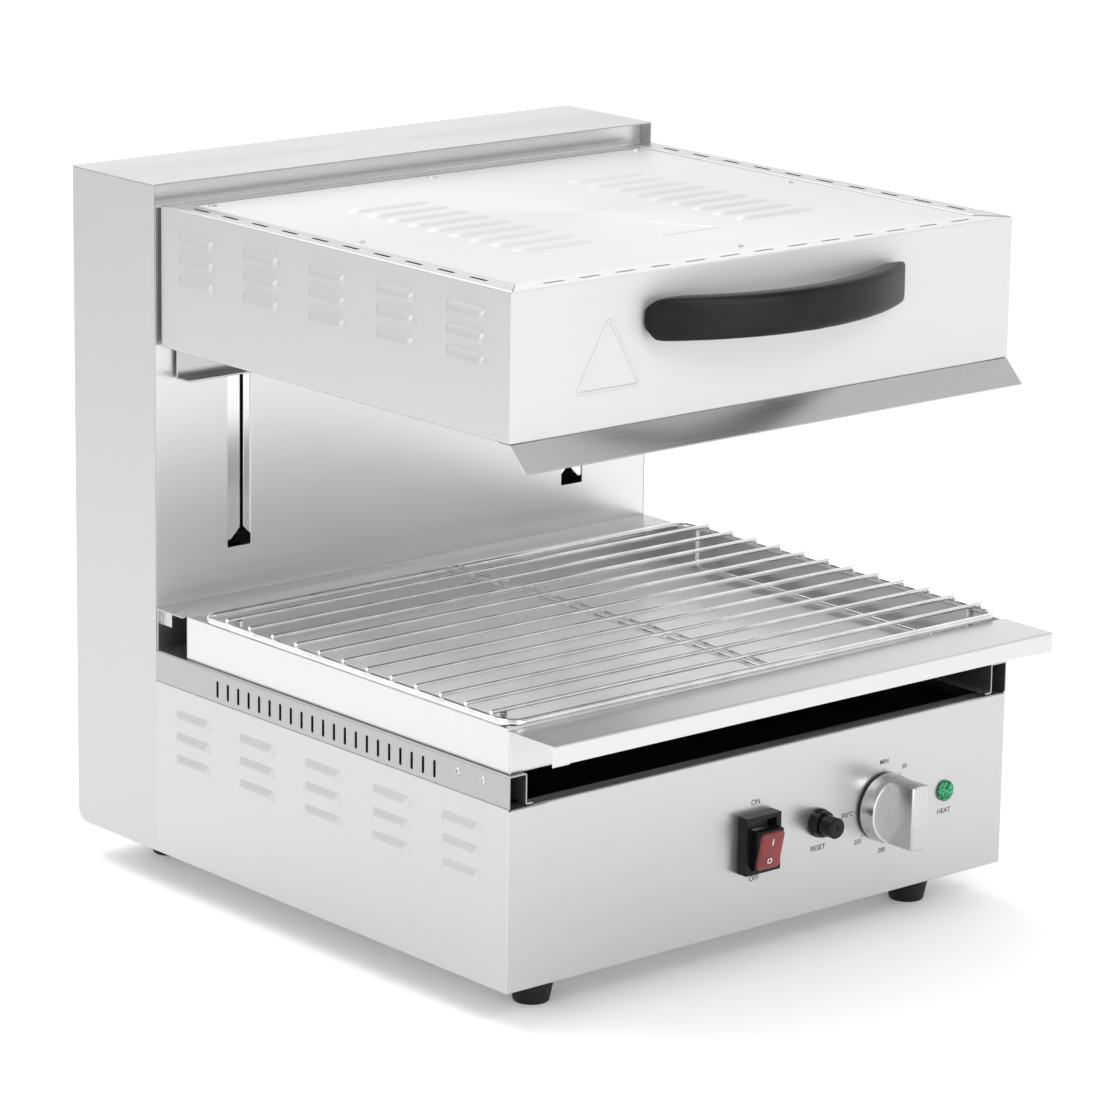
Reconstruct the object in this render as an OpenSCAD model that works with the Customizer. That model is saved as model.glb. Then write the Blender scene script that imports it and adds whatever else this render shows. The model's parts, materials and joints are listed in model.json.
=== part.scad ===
// Countertop rise-and-fall grill: a heating head slides on a rear column
// above a pull-out drip tray with a wire rack.
// Origin: centre of the footprint on the surface it stands on.
// +X is right seen from the front, the front faces -Y, +Z is up.

/* [Base] */
// Width of the base and the column
base_w = 450; // [360:1:560]
// Depth from the control panel to the column
base_d = 380; // [310:1:460]
// Height of the base's side panels
base_h = 124; // [118:1:150]
// Height of the rubber feet
foot_h = 25; // [20:1:40]
// Largest radius of a rubber foot
foot_r = 17; // [12:0.5:18]
// Thickness of the sheet steel
sheet = 1; // [0.8:0.1:1.5]
// Height of the vent rails that carry the tray
rail_h = 22; // [18:1:30]

/* [Tray] */
// Height of the drip tray
tray_h = 29.7; // [24:0.1:45]
// How far the tray's lip stands out in front of the tray
tray_lip = 45; // [30:1:60]
// Free depth between the tray's back and the column
tray_back_gap = 31.5; // [30:0.5:100]
// Diameter of the rack's edge rod
rack_rod_d = 5; // [4:0.5:8]
// Diameter of the rack's cross rods
cross_rod_d = 3; // [2.5:0.5:5]
// Number of cross rods
cross_rods = 12; // [8:1:14]

/* [Column] */
// Depth of the column
column_d = 95; // [88:1:130]
// Height of the column above the head at its top stop
column_rise = 14; // [12:1:30]
// Width of the slots that the arms pass through
slot_w = 20; // [16:1:34]
// Distance of the slots' centres from the column's sides
slot_inset = 72; // [50:1:90]

/* [Head] */
// Height of the head
head_h = 98; // [90:1:130]
// Free height between the tray and the head at its top stop
head_lift = 184; // [175:1:240]
// How far the head comes down
head_travel = 145; // [100:1:150]
// Length of the deflector's slope
deflector_l = 22; // [15:1:30]
// Length of the handle
handle_l = 227; // [160:1:280]
// Height of the handle
handle_h = 29; // [22:1:36]
// How far the handle stands out
handle_out = 45; // [38:1:52]

/* [Controls] */
// Sideways place of the switch
switch_x = -10; // [-60:1:0]
// Sideways place of the reset button
reset_x = 48.5; // [30:0.5:60]
// Sideways place of the control knob
knob_x = 109; // [95:1:120]
// Sideways place of the lamp
lamp_x = 168; // [150:1:172]
// Radius of the control knob
knob_r = 24; // [18:0.5:26]
// Travel of the reset button
reset_travel = 3; // [1:0.5:4]

/* [Hidden] */
$fn = 48;

// Clearances
seat = 0.2;
slide_gap = 0.3;
pin_gap = 0.05;
eps = 0.01;

// Depth: the box runs from the tray's lip to the cable gland
tray_set = 2.5;
gland_out = 10;
total_d = tray_lip - tray_set + base_d + column_d + gland_out;
front_y = -total_d / 2 + tray_lip - tray_set;
column_y = front_y + base_d;
back_y = column_y + column_d;
half_w = base_w / 2;
inner_w = half_w - sheet;

// Heights
base_top = foot_h + base_h;
rail_top = base_top + rail_h;
tray_z = rail_top + seat;
rim_z = tray_z + tray_h;
head_z = rim_z + head_lift;
head_top = head_z + head_h;
column_top = head_top + column_rise;
floor_z = foot_h + sheet;

// Feet and their screws
foot_inset_x = 53;
foot_inset_y = 37.5;
foot_x = half_w - foot_inset_x;
foot_ys = [front_y + foot_inset_y, back_y - foot_inset_y];
foot_taper = 5;
foot_screw_r = 2.5;
foot_head_r = 4.5;
foot_head_z = foot_h * 0.45;
nut_h = 4;

// Vent rails
rail_gap = 14;
rail_foot = 6;
rail_foot_z = base_top + sheet;
vent_pitch = 11.7;
vent_first = 75;
vent_end = 70;
vent_w = 2.6;
vent_l = 12;
vent_z = base_top + 9.6;
vent_n = floor((base_d - vent_first - vent_end) / vent_pitch) + 1;
rivet_z = base_top + 13.6;
rivet_ys = [26, 51];
rivet_r = 1.6;
rivet_head_r = 2.7;
ear_d = 48;
ear_from = 14;

// Pressed louvres
louvre_l = 38;
louvre_h = 8.5;
louvre_out = 2.5;
louvre_wall = 0.8;
louvre_rows = 3;
base_louvre_first = 47.5;
base_louvre_pitch = 72.5;
base_louvre_n = floor((base_d - 2 * base_louvre_first + 6) / base_louvre_pitch) + 1;
base_louvre_top = base_top - 19.5;
base_louvre_drop = 16;
head_louvre_first = 44.5;
head_louvre_pitch = 71;
head_louvre_drop = 14.7;

// Tray and rack
tray_w = base_w - 6;
tray_y = front_y + tray_set;
tray_d = base_d - tray_set - tray_back_gap;
tray_flange_h = 14;
tray_notch = 14;
rack_corner_r = 12;
rack_half_w = tray_w / 2 - 1.5;
rack_front = tray_y + 3;
rack_back = tray_y + tray_d - 17;
rack_z = rim_z + rack_rod_d / 2 + seat;
cross_z = rack_z + (rack_rod_d + cross_rod_d) / 2 + pin_gap;
cross_first = rack_front + 18;
cross_last = rack_back - 28;
cross_pitch = (cross_last - cross_first) / (cross_rods - 1);
center_rod_gap = 10;
leg_r = 2.5;
leg_x = rack_half_w - 10;
leg_z = tray_z + sheet + 5.5;
leg_bend = 8;
shelf_gap = 0.5;

// Column
slot_x = half_w - slot_inset;
slot_z = rim_z + 33.5;
slot_end = head_top - 9;
plate_top = head_top - 2;
header_set = 11;
header_lap = 4;
corner_r = 10;
strip_gap = 3;
strip_lap = 5;
arm_set = 7.2;
arm_x = slot_x - slot_w / 2 + arm_set;
strip_in_w = arm_set - strip_gap / 2 + strip_lap;
strip_out_w = slot_w - arm_set - strip_gap / 2 + strip_lap;
strip_z = slot_z + 5;
strip_chamfer = 8;
front_plate_z = base_top - 29;
rail_t = 1.5;
guide_y = column_y + 2 * sheet;
guide_d = 33;
guide_w = 28;
strut_x = half_w - 135;
strut_y = column_y + 50;
strut_r = 11;
strut_bore_r = 9.5;
strut_rod_r = 4;
strut_z = floor_z + 14;
piston_h = 10;
bar_z = head_z + 35;
piston_z = strut_z + 4 + head_travel + 6;
strut_top = piston_z + piston_h + 14;
gland_x = -half_w + 65;
gland_z = foot_h + 40;
gland_r = 8;
gland_bore_r = 4.2;
gland_head_r = 11;
gland_nut = 5;

// Head
head_w = base_w - 6.6;
head_half = head_w / 2;
head_set = 7.6;
head_y = front_y + head_set;
head_clear = 4;
head_back = column_y - head_clear;
flange_w = 19;
flange_slot_l = 17;
flange_slot_w = 3;
flange_slot_pitch = 32.4;
flange_slot_first = 44.4;
flange_slot_n = floor((head_back - head_y - flange_slot_first - 25) / flange_slot_pitch) + 1;
front_slot_pitch = 30;
front_slot_n = floor((head_w - 76) / front_slot_pitch) + 1;
front_slot_set = 9;
cover_lap = 4;
cover_back = head_back - 10;
cover_z = head_top - 2 * sheet;
cover_louvre_l = 70;
cover_louvre_n = 9;
cover_louvre_pitch = 21.5;
cover_louvre_x = 98;
cover_screw_x = head_half - flange_w - 11;
return_w = 12;
triangle_x = -head_half + 81;
triangle_z = head_z + 24.5;
triangle_s = 54;
triangle_rib = 2;
triangle_out = 0.6;
arm_t = 2;
arm_tab = 20;
carriage_t = 1.5;
carriage_drop = 24;
carriage_lip = 13;
carriage_half = head_half - 13;
arm_low = head_z + 5;
arm_high = head_top - 13;
arm_back = column_y + 31;
guide_z = arm_low - head_travel - 3;
handle_z = head_top - 30;
handle_t = 14;
handle_foot = 23;
handle_end = 9.5;
handle_corner = 14;
handle_taper = 10;
handle_sag = handle_out - handle_end;
handle_R = (pow(handle_l / 2, 2) + pow(handle_sag, 2)) / (2 * handle_sag);
handle_screw_x = handle_l / 2 - handle_foot / 2;
handle_screw_r = 2.5;
handle_screw_l = 8;
reflector_z = head_z + sheet;
reflector_h = 44;
reflector_half = head_half - 13;
reflector_front = head_y + 14;
reflector_back = head_back - 14;
element_r = 4;
element_gap = 54;
element_n = 4;
element_z = head_z + 12;
element_pitch = (2 * reflector_half - 20) / element_n;
support_t = 1.5;
pad_h = 25;

// Controls, measured from the front panel
control_z = foot_h + 63;
switch_z = control_z - 1.5;
switch_w = 31;
switch_h = 40;
switch_out = 9;
switch_pocket_w = 22.4;
switch_pocket_h = 34;
switch_body_w = 26;
switch_body_h = 36.4;
switch_body_d = 26;
rocker_w = 21.4;
rocker_tilt = 12;
rocker_pivot = -2;
rocker_pin_r = 1.5;
rocker_pin_l = 1.5;
reset_r = 7.25;
reset_out = 18;
collar_r = 10;
collar_h = 7;
neck_r = 8;
knob_gap = 2;
knob_skirt = 12;
knob_out = 36;
knob_bar = 15;
shaft_r = 3;
bush_r = 5;
lamp_r = 7.5;
lamp_neck_r = 6.4;

// ---- shared shapes ----

// Box between two opposite corners
module block(lo, hi) {
    translate(lo) cube(hi - lo);
}

// Right-hand piece for side = 1 and its mirror image for side = -1
module on_side(side) {
    mirror([side < 0 ? 1 : 0, 0, 0]) children();
}

// Cylinder along +Y from y0 to y1
module rod_y(x, z, r, y0, y1) {
    translate([x, y0, z]) rotate([-90, 0, 0]) cylinder(r = r, h = y1 - y0);
}

// Flat slot with round ends, along the first axis, centred
module slot_2d(l, w) {
    square([l - w, w], center = true);
    for (s = [-1, 1]) translate([s * (l - w) / 2, 0]) circle(d = w, $fn = 20);
}

// Flat rectangle with round corners, from one corner
module round_2d(size, r) {
    translate([r, 0]) square([size.x - 2 * r, size.y]);
    translate([0, r]) square([size.x, size.y - 2 * r]);
    for (x = [r, size.x - r], y = [r, size.y - r]) translate([x, y]) circle(r = r);
}

// Louvre hood on the plane z = 0, along X, with its mouth towards -Y
module louvre_hood(l) {
    translate([l / 2, 0, 0]) rotate([90, 0, -90]) linear_extrude(l)
        polygon([[-louvre_h / 2, 0], [-louvre_h / 2 + 1, louvre_out * 0.7], [0, louvre_out],
                 [louvre_h / 2, louvre_out], [louvre_h / 2, 0]]);
}

// Hollow under a louvre hood, which also opens the sheet behind it
module louvre_hollow(l) {
    inner_l = l - 2 * louvre_wall;
    top = louvre_out - louvre_wall;
    translate([inner_l / 2, 0, 0]) rotate([90, 0, -90]) linear_extrude(inner_l)
        polygon([[-louvre_h / 2 + 1.5, -sheet - eps], [-louvre_h / 2 + 1.5, top * 0.5], [0, top],
                 [louvre_h / 2 + eps, top], [louvre_h / 2 + eps, 0.3],
                 [louvre_h / 2 - 2, 0.3], [louvre_h / 2 - 2, -sheet - eps]]);
}

// Places children on the right-hand face x, facing out, at each louvre's centre
module at_louvres(x, ys, top_z, drop) {
    for (y = ys, row = [0 : louvre_rows - 1])
        translate([x, y, top_z - row * drop]) rotate([90, 0, 90]) children();
}

// ---- base ----

module base_front_panel() {
    color("gainsboro") difference() {
        union() {
            block([-half_w, front_y, foot_h], [half_w, front_y + sheet, base_top]);
            block([-inner_w + 1, front_y, base_top - sheet], [inner_w - 1, front_y + return_w, base_top]);
            block([-inner_w + 1, front_y, floor_z], [inner_w - 1, front_y + return_w, floor_z + sheet]);
        }
        translate([switch_x, front_y, switch_z])
            cube([switch_body_w + 0.4, 4 * sheet, switch_body_h + 0.4], center = true);
        rod_y(reset_x, control_z, neck_r + 0.2, front_y - 1, front_y + 2 * sheet);
        rod_y(knob_x, control_z, bush_r + 0.3, front_y - 1, front_y + 2 * sheet);
        rod_y(lamp_x, control_z, lamp_neck_r + 0.2, front_y - 1, front_y + 2 * sheet);
    }
}

base_louvre_ys = [for (i = [0 : base_louvre_n - 1]) front_y + base_louvre_first + i * base_louvre_pitch];

module base_side(side) {
    on_side(side) difference() {
        union() {
            block([inner_w, front_y + sheet, foot_h], [half_w, column_y, base_top]);
            for (y = [front_y + ear_from, column_y - ear_from - ear_d])
                block([inner_w - sheet, y, base_top - 20], [inner_w, y + ear_d, rail_top - 3]);
            at_louvres(half_w, base_louvre_ys, base_louvre_top, base_louvre_drop) louvre_hood(louvre_l);
        }
        at_louvres(half_w, base_louvre_ys, base_louvre_top, base_louvre_drop) louvre_hollow(louvre_l);
        rivet_holes(inner_w - 2 * sheet, half_w);
    }
}

module base_side_left() { color("gainsboro") base_side(-1); }
module base_side_right() { color("gainsboro") base_side(1); }

module rivet_holes(x0, x1) {
    for (y = rivet_ys) translate([x0, front_y + y, rivet_z]) rotate([0, 90, 0])
        cylinder(r = rivet_r + pin_gap, h = x1 - x0 + 1);
}

module bottom_plate() {
    plate_back = back_y - corner_r;
    color("silver") difference() {
        block([-inner_w, front_y + sheet, foot_h], [inner_w, plate_back, floor_z]);
        for (x = [-foot_x, foot_x], y = foot_ys)
            translate([x, y, foot_h - 1]) cylinder(r = foot_screw_r + 0.2, h = 3 * sheet);
        for (i = [-4 : 4], y = [front_y + base_d * 0.4, front_y + base_d * 0.65])
            translate([i * 30, y, foot_h - 1]) rotate([0, 0, 90])
                linear_extrude(3 * sheet) slot_2d(40, 4);
    }
}

module inner_deck() {
    deck_z = base_top - 13;
    color("dimgray") {
        block([-inner_w + sheet, front_y + return_w + 3, deck_z],
              [inner_w - sheet, column_y - 1, deck_z + sheet]);
        for (s = [-1, 1]) on_side(s)
            block([inner_w - 2 * sheet, front_y + ear_from + ear_d + 4, deck_z - 12],
                  [inner_w, column_y - ear_from - ear_d - 4, deck_z + sheet]);
    }
}

module vent_rail(side) {
    in_x = half_w - rail_gap;
    on_side(side) difference() {
        union() {
            block([inner_w, front_y, base_top], [half_w, column_y, rail_top]);
            block([in_x - sheet, front_y, rail_top - sheet], [half_w, column_y, rail_top]);
            block([in_x - sheet, front_y, rail_foot_z], [in_x, column_y, rail_top]);
            block([in_x - rail_foot, front_y, rail_foot_z], [in_x, column_y, rail_foot_z + sheet]);
        }
        for (i = [0 : vent_n - 1])
            translate([half_w - 2 * sheet, front_y + vent_first + i * vent_pitch, vent_z])
                rotate([90, 90, 90]) linear_extrude(3 * sheet) slot_2d(vent_l, vent_w);
        rivet_holes(inner_w - 2 * sheet, half_w);
    }
}

module vent_rail_left() { color("gainsboro") vent_rail(-1); }
module vent_rail_right() { color("gainsboro") vent_rail(1); }

module rail_rivets() {
    color("silver") for (s = [-1, 1], y = rivet_ys) on_side(s)
        translate([inner_w - sheet - 1, front_y + y, rivet_z]) rotate([0, 90, 0]) {
            cylinder(r = rivet_head_r, h = 1);
            cylinder(r = rivet_r, h = 2 * sheet + 2);
            translate([0, 0, 2 * sheet + 1]) cylinder(r1 = rivet_head_r, r2 = rivet_r, h = 1.2);
        }
}

module rear_shelf() {
    shelf_y = tray_y + tray_d + shelf_gap;
    tab = 12;
    color("gainsboro") {
        block([-half_w, shelf_y, rim_z - sheet], [half_w, column_y, rim_z]);
        block([-inner_w, column_y - sheet, rail_top], [inner_w, column_y, rim_z]);
        for (s = [-1, 1]) on_side(s)
            block([inner_w - 4, column_y - tab - sheet, rim_z - tab],
                  [inner_w - 3, column_y - sheet, rim_z - sheet]);
    }
}

module feet() {
    color("black") for (x = [-foot_x, foot_x], y = foot_ys) translate([x, y, 0]) difference() {
        cylinder(r1 = foot_r - foot_taper, r2 = foot_r, h = foot_h);
        translate([0, 0, -1]) cylinder(r = foot_head_r + 0.5, h = foot_head_z + 1);
        cylinder(r = foot_screw_r + 0.2, h = foot_h + 1);
    }
}

module foot_screws() {
    color("silver") for (x = [-foot_x, foot_x], y = foot_ys) translate([x, y, 0]) {
        translate([0, 0, foot_head_z - 3]) cylinder(r = foot_head_r, h = 3);
        translate([0, 0, foot_head_z - 1]) cylinder(r = foot_screw_r, h = floor_z + nut_h + 2 - foot_head_z);
        translate([0, 0, floor_z]) difference() {
            cylinder(r = 4.6, h = nut_h, $fn = 6);
            translate([0, 0, -1]) cylinder(r = foot_screw_r + pin_gap, h = nut_h + 2);
        }
    }
}

// ---- controls ----

module switch_housing() {
    color("black") translate([switch_x, front_y, switch_z]) difference() {
        union() {
            block([-switch_w / 2, -switch_out, -switch_h / 2], [switch_w / 2, 0, switch_h / 2]);
            block([-switch_body_w / 2, -1, -switch_body_h / 2],
                  [switch_body_w / 2, switch_body_d, switch_body_h / 2]);
            for (z = [-10, 0, 10])
                block([-3, switch_body_d - 1, z - 0.4], [3, switch_body_d + 8, z + 0.4]);
        }
        block([-switch_pocket_w / 2, -switch_out - 1, -switch_pocket_h / 2],
              [switch_pocket_w / 2, 8, switch_pocket_h / 2]);
        translate([-rocker_w / 2 - rocker_pin_l - pin_gap, rocker_pivot, 0]) rotate([0, 90, 0])
            cylinder(r = rocker_pin_r + pin_gap, h = rocker_w + 2 * (rocker_pin_l + pin_gap));
    }
}

// The rocker lies with its lower end pressed: off
module switch_rocker() {
    color("firebrick") translate([switch_x, front_y + rocker_pivot, switch_z]) {
        rotate([rocker_tilt, 0, 0]) translate([-rocker_w / 2, 0, 0]) rotate([90, 0, 90])
            linear_extrude(rocker_w)
                polygon([[-12.6, -14], [-13, 0], [-12.6, 14], [-8.5, 14.3], [-5, 13],
                         [3, 9], [6, 0], [3, -9], [-5, -13], [-8.5, -14.3]]);
        translate([-rocker_w / 2 - rocker_pin_l, 0, 0]) rotate([0, 90, 0])
            cylinder(r = rocker_pin_r, h = rocker_w + 2 * rocker_pin_l);
    }
}

module reset_collar() {
    color("black") difference() {
        rod_y(reset_x, control_z, collar_r, front_y - collar_h, front_y);
        rod_y(reset_x, control_z, neck_r + pin_gap, front_y - collar_h + 1, front_y + 1);
        rod_y(reset_x, control_z, reset_r + 0.2, front_y - collar_h - 1, front_y + 1);
    }
}

module reset_button() {
    color("black") {
        rod_y(reset_x, control_z, reset_r, front_y - reset_out, front_y + 1);
        rod_y(reset_x, control_z, reset_r - 1, front_y - reset_out - 0.6, front_y);
    }
}

module limit_thermostat() {
    half = 15;
    color("dimgray") difference() {
        union() {
            block([reset_x - half, front_y + sheet, control_z - half],
                  [reset_x + half, front_y + 28, control_z + half]);
            rod_y(reset_x, control_z, neck_r, front_y - collar_h + 1.2, front_y + 2);
        }
        rod_y(reset_x, control_z, reset_r + pin_gap, front_y - collar_h, front_y + 2 + reset_travel);
    }
}

module control_knob() {
    skirt_y = front_y - knob_gap - knob_skirt;
    color("silver") difference() {
        union() {
            translate([knob_x, front_y - knob_gap, control_z]) rotate([90, 0, 0])
                cylinder(r1 = knob_r, r2 = knob_r - 0.8, h = knob_skirt);
            intersection() {
                rod_y(knob_x, control_z, knob_r - 0.8, front_y - knob_out, skirt_y + 1);
                block([knob_x - knob_bar / 2, front_y - knob_out - 1, control_z - knob_r],
                      [knob_x + knob_bar / 2, skirt_y + 1, control_z + knob_r]);
            }
        }
        rod_y(knob_x, control_z, shaft_r + pin_gap, front_y - 20, front_y);
    }
}

module thermostat_shaft() {
    color("silver") rod_y(knob_x, control_z, shaft_r, front_y - 20 + seat, front_y + 12);
}

module thermostat() {
    half = 19;
    color("dimgray") difference() {
        union() {
            block([knob_x - half, front_y + sheet, control_z - half],
                  [knob_x + half, front_y + 26, control_z + half]);
            rod_y(knob_x, control_z, bush_r, front_y - 1.4, front_y + 2);
        }
        rod_y(knob_x, control_z, shaft_r + pin_gap, front_y - 2, front_y + 12 + seat);
    }
}

module lamp_lens() {
    color("green") translate([lamp_x, front_y, control_z]) rotate([90, 0, 0]) {
        cylinder(r = lamp_r, h = 2);
        translate([0, 0, 1.9]) cylinder(r1 = lamp_r - 0.4, r2 = lamp_r * 0.6, h = 2, $fn = 24);
    }
}

module lamp_body() {
    color("dimgray") rod_y(lamp_x, control_z, lamp_neck_r, front_y, front_y + 22);
}

module terminal_block() {
    tb_x = gland_x + 20;
    tb_y = column_y - 60;
    color("ivory") difference() {
        block([tb_x, tb_y, floor_z], [tb_x + 60, tb_y + 22, floor_z + 18]);
        for (i = [0 : 4]) translate([tb_x + 6 + i * 12, tb_y + 11, floor_z + 8])
            cylinder(r = 2.4, h = 20);
    }
}

module cable_gland() {
    inside_y = back_y - sheet - gland_nut;
    color("black") {
        difference() {
            union() {
                rod_y(gland_x, gland_z, gland_r, inside_y - 4, back_y + 2);
                translate([gland_x, back_y, gland_z]) rotate([-90, 0, 0])
                    cylinder(r = gland_head_r, h = gland_out * 0.5, $fn = 6);
                translate([gland_x, back_y + gland_out * 0.4, gland_z]) rotate([-90, 0, 0])
                    cylinder(r1 = gland_head_r - 2, r2 = gland_bore_r + 2.5, h = gland_out * 0.6);
            }
            rod_y(gland_x, gland_z, gland_bore_r, inside_y - 5, back_y + gland_out + 1);
        }
        difference() {
            translate([gland_x, inside_y, gland_z]) rotate([-90, 0, 0])
                cylinder(r = gland_head_r, h = gland_nut, $fn = 6);
            rod_y(gland_x, gland_z, gland_r + pin_gap, inside_y - 1, back_y);
        }
    }
}

// ---- column ----

module column_side(side) {
    side_h = column_top - sheet - foot_h;
    on_side(side) translate([inner_w, column_y, foot_h]) rotate([90, 0, 90]) linear_extrude(sheet) {
        square([column_d - corner_r, side_h]);
        translate([0, corner_r]) square([column_d, side_h - corner_r]);
        translate([column_d - corner_r, corner_r]) circle(r = corner_r);
    }
}

module column_side_left() { color("gainsboro") column_side(-1); }
module column_side_right() { color("gainsboro") column_side(1); }

module column_top_cap() {
    color("gainsboro") block([-half_w, column_y, column_top - sheet], [half_w, back_y, column_top]);
}

module column_front_plate() {
    color("silver") difference() {
        union() {
            block([-inner_w, column_y, front_plate_z], [inner_w, column_y + sheet, plate_top]);
            block([-inner_w, column_y, plate_top - sheet], [inner_w, column_y + header_set, plate_top]);
        }
        for (s = [-1, 1]) on_side(s)
            block([slot_x - slot_w / 2, column_y - 1, slot_z],
                  [slot_x + slot_w / 2, column_y + 2 * sheet, slot_end]);
    }
}

module column_header() {
    header_y = column_y + header_set;
    color("silver") {
        block([-inner_w, header_y, plate_top - header_lap], [inner_w, header_y + sheet, column_top - sheet]);
        block([-inner_w, header_y, column_top - 2 * sheet], [inner_w, header_y + 12, column_top - sheet]);
    }
}

// Outline of one strip, whose lower corner at the gap is cut off
module strip_2d(edge, w, top) {
    polygon([[0, strip_z + strip_chamfer], [edge * strip_chamfer, strip_z],
             [edge * w, strip_z], [edge * w, top], [0, top]]);
}

// Two flat strips behind each slot leave a narrow gap for the arm
module slot_strips() {
    strip_y = column_y + sheet;
    top = slot_end + 4;
    color("lightgray") for (s = [-1, 1], edge = [-1, 1]) on_side(s)
        translate([arm_x + edge * strip_gap / 2, strip_y + sheet, 0]) rotate([90, 0, 0])
            linear_extrude(sheet)
                strip_2d(edge, edge > 0 ? strip_out_w : strip_in_w, top);
}

module back_cover() {
    cover_low = foot_h + corner_r;
    color("gainsboro") difference() {
        block([-inner_w, back_y - sheet, cover_low], [inner_w, back_y, column_top - sheet]);
        rod_y(gland_x, gland_z, gland_r + 0.2, back_y - 2 * sheet, back_y + 1);
        for (i = [-6 : 6], z = [column_top - 80, column_top - 130])
            translate([i * 24, back_y + 1, z]) rotate([90, 90, 0])
                linear_extrude(3 * sheet) slot_2d(30, 4);
        for (x = back_screw_xs, z = back_screw_zs)
            rod_y(x, z, 1.7, back_y - 2 * sheet, back_y + 1);
    }
}

back_screw_xs = [-inner_w + 12, 0, inner_w - 12];
back_screw_zs = [foot_h + 22, column_top - 15];

module back_screws() {
    color("silver") for (x = back_screw_xs, z = back_screw_zs) {
        rod_y(x, z, 1.6, back_y - 8, back_y + 1);
        rod_y(x, z, 3.4, back_y, back_y + 1.8);
    }
}

module guide_rail(side) {
    web_x = arm_x + guide_w;
    on_side(side) {
        block([web_x, guide_y, guide_z], [web_x + rail_t, guide_y + guide_d, slot_end + 2]);
        for (y = [guide_y, guide_y + guide_d - rail_t])
            block([arm_x + 5, y, guide_z], [web_x + rail_t, y + rail_t, slot_end + 2]);
    }
}

module guide_rail_left() { color("silver") guide_rail(-1); }
module guide_rail_right() { color("silver") guide_rail(1); }

module strut_cylinders() {
    color("dimgray") for (s = [-1, 1]) translate([s * strut_x, strut_y, 0]) difference() {
        translate([0, 0, strut_z]) cylinder(r = strut_r, h = strut_top - strut_z);
        translate([0, 0, strut_z + 4]) cylinder(r = strut_bore_r, h = strut_top - strut_z - 12);
        translate([0, 0, strut_top - 20]) cylinder(r = strut_rod_r + pin_gap, h = 30);
    }
}

module strut_brackets() {
    color("silver") for (s = [-1, 1]) translate([s * strut_x, strut_y, floor_z]) {
        translate([-18, -14, 0]) cube([36, 28, 2]);
        cylinder(r = 7, h = strut_z - floor_z);
    }
}

// ---- tray and rack ----

module drip_tray() {
    half = tray_w / 2;
    lip_y = tray_y - tray_lip;
    color("gainsboro") {
        difference() {
            block([-half, tray_y, tray_z], [half, tray_y + tray_d, rim_z]);
            block([-half + sheet, tray_y + sheet, tray_z + sheet],
                  [half - sheet, tray_y + tray_d - sheet, rim_z + 1]);
        }
        block([-half_w, lip_y, rim_z - sheet], [half_w, tray_y + sheet, rim_z]);
        difference() {
            block([-half_w, lip_y, rim_z - tray_flange_h], [half_w, lip_y + sheet, rim_z]);
            block([-half_w + tray_notch, lip_y - 1, rim_z - tray_flange_h - 1],
                  [half_w - tray_notch, lip_y + 2 * sheet, rim_z - tray_flange_h + 1]);
        }
    }
}

// Quarter bend of a rod in the XY plane, with its centre of curvature at the origin
module bend(bend_r, rod_r, turn) {
    rotate([0, 0, turn]) rotate_extrude(angle = 90) translate([bend_r, 0]) circle(r = rod_r, $fn = 24);
}

module rack_frame() {
    rod_r = rack_rod_d / 2;
    cr = rack_corner_r;
    center_r = cross_rod_d / 2;
    color("silver") {
        for (s = [-1, 1])
            rod_y(s * rack_half_w, rack_z, rod_r, rack_front + cr, rack_back - cr);
        for (y = [rack_front, rack_back])
            translate([-rack_half_w + cr, y, rack_z]) rotate([0, 90, 0])
                cylinder(r = rod_r, h = 2 * (rack_half_w - cr));
        translate([rack_half_w - cr, rack_back - cr, rack_z]) bend(cr, rod_r, 0);
        translate([-rack_half_w + cr, rack_back - cr, rack_z]) bend(cr, rod_r, 90);
        translate([-rack_half_w + cr, rack_front + cr, rack_z]) bend(cr, rod_r, 180);
        translate([rack_half_w - cr, rack_front + cr, rack_z]) bend(cr, rod_r, 270);
        for (s = [-1, 1])
            rod_y(s * center_rod_gap / 2, rack_z + rod_r - center_r, center_r, rack_front, rack_back);
    }
}

module rack_rods() {
    color("silver") for (i = [0 : cross_rods - 1])
        translate([-rack_half_w - 1, cross_first + i * cross_pitch, cross_z]) rotate([0, 90, 0])
            cylinder(r = cross_rod_d / 2, h = 2 * rack_half_w + 2);
}

// U-shaped rods that hang from the first and last cross rods into the tray
module rack_legs() {
    top = cross_z - cross_rod_d / 2 - pin_gap;
    color("silver") for (s = [-1, 1]) translate([s * leg_x, 0, 0]) {
        for (y = [cross_first, cross_last])
            translate([0, y, leg_z + leg_bend]) cylinder(r = leg_r, h = top - leg_z - leg_bend);
        rod_y(0, leg_z, leg_r, cross_first + leg_bend, cross_last - leg_bend);
        translate([0, cross_last - leg_bend, leg_z + leg_bend]) rotate([90, 0, 90])
            bend(leg_bend, leg_r, 270);
        translate([0, cross_first + leg_bend, leg_z + leg_bend]) rotate([90, 0, 90])
            bend(leg_bend, leg_r, 180);
    }
}

// ---- head ----

module flange_slots_side() {
    for (i = [0 : flange_slot_n - 1])
        translate([head_half - 10, head_y + flange_slot_first + i * flange_slot_pitch, head_top - 2 * sheet])
            rotate([0, 0, 90]) linear_extrude(3 * sheet) slot_2d(flange_slot_l, flange_slot_w);
}

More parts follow.
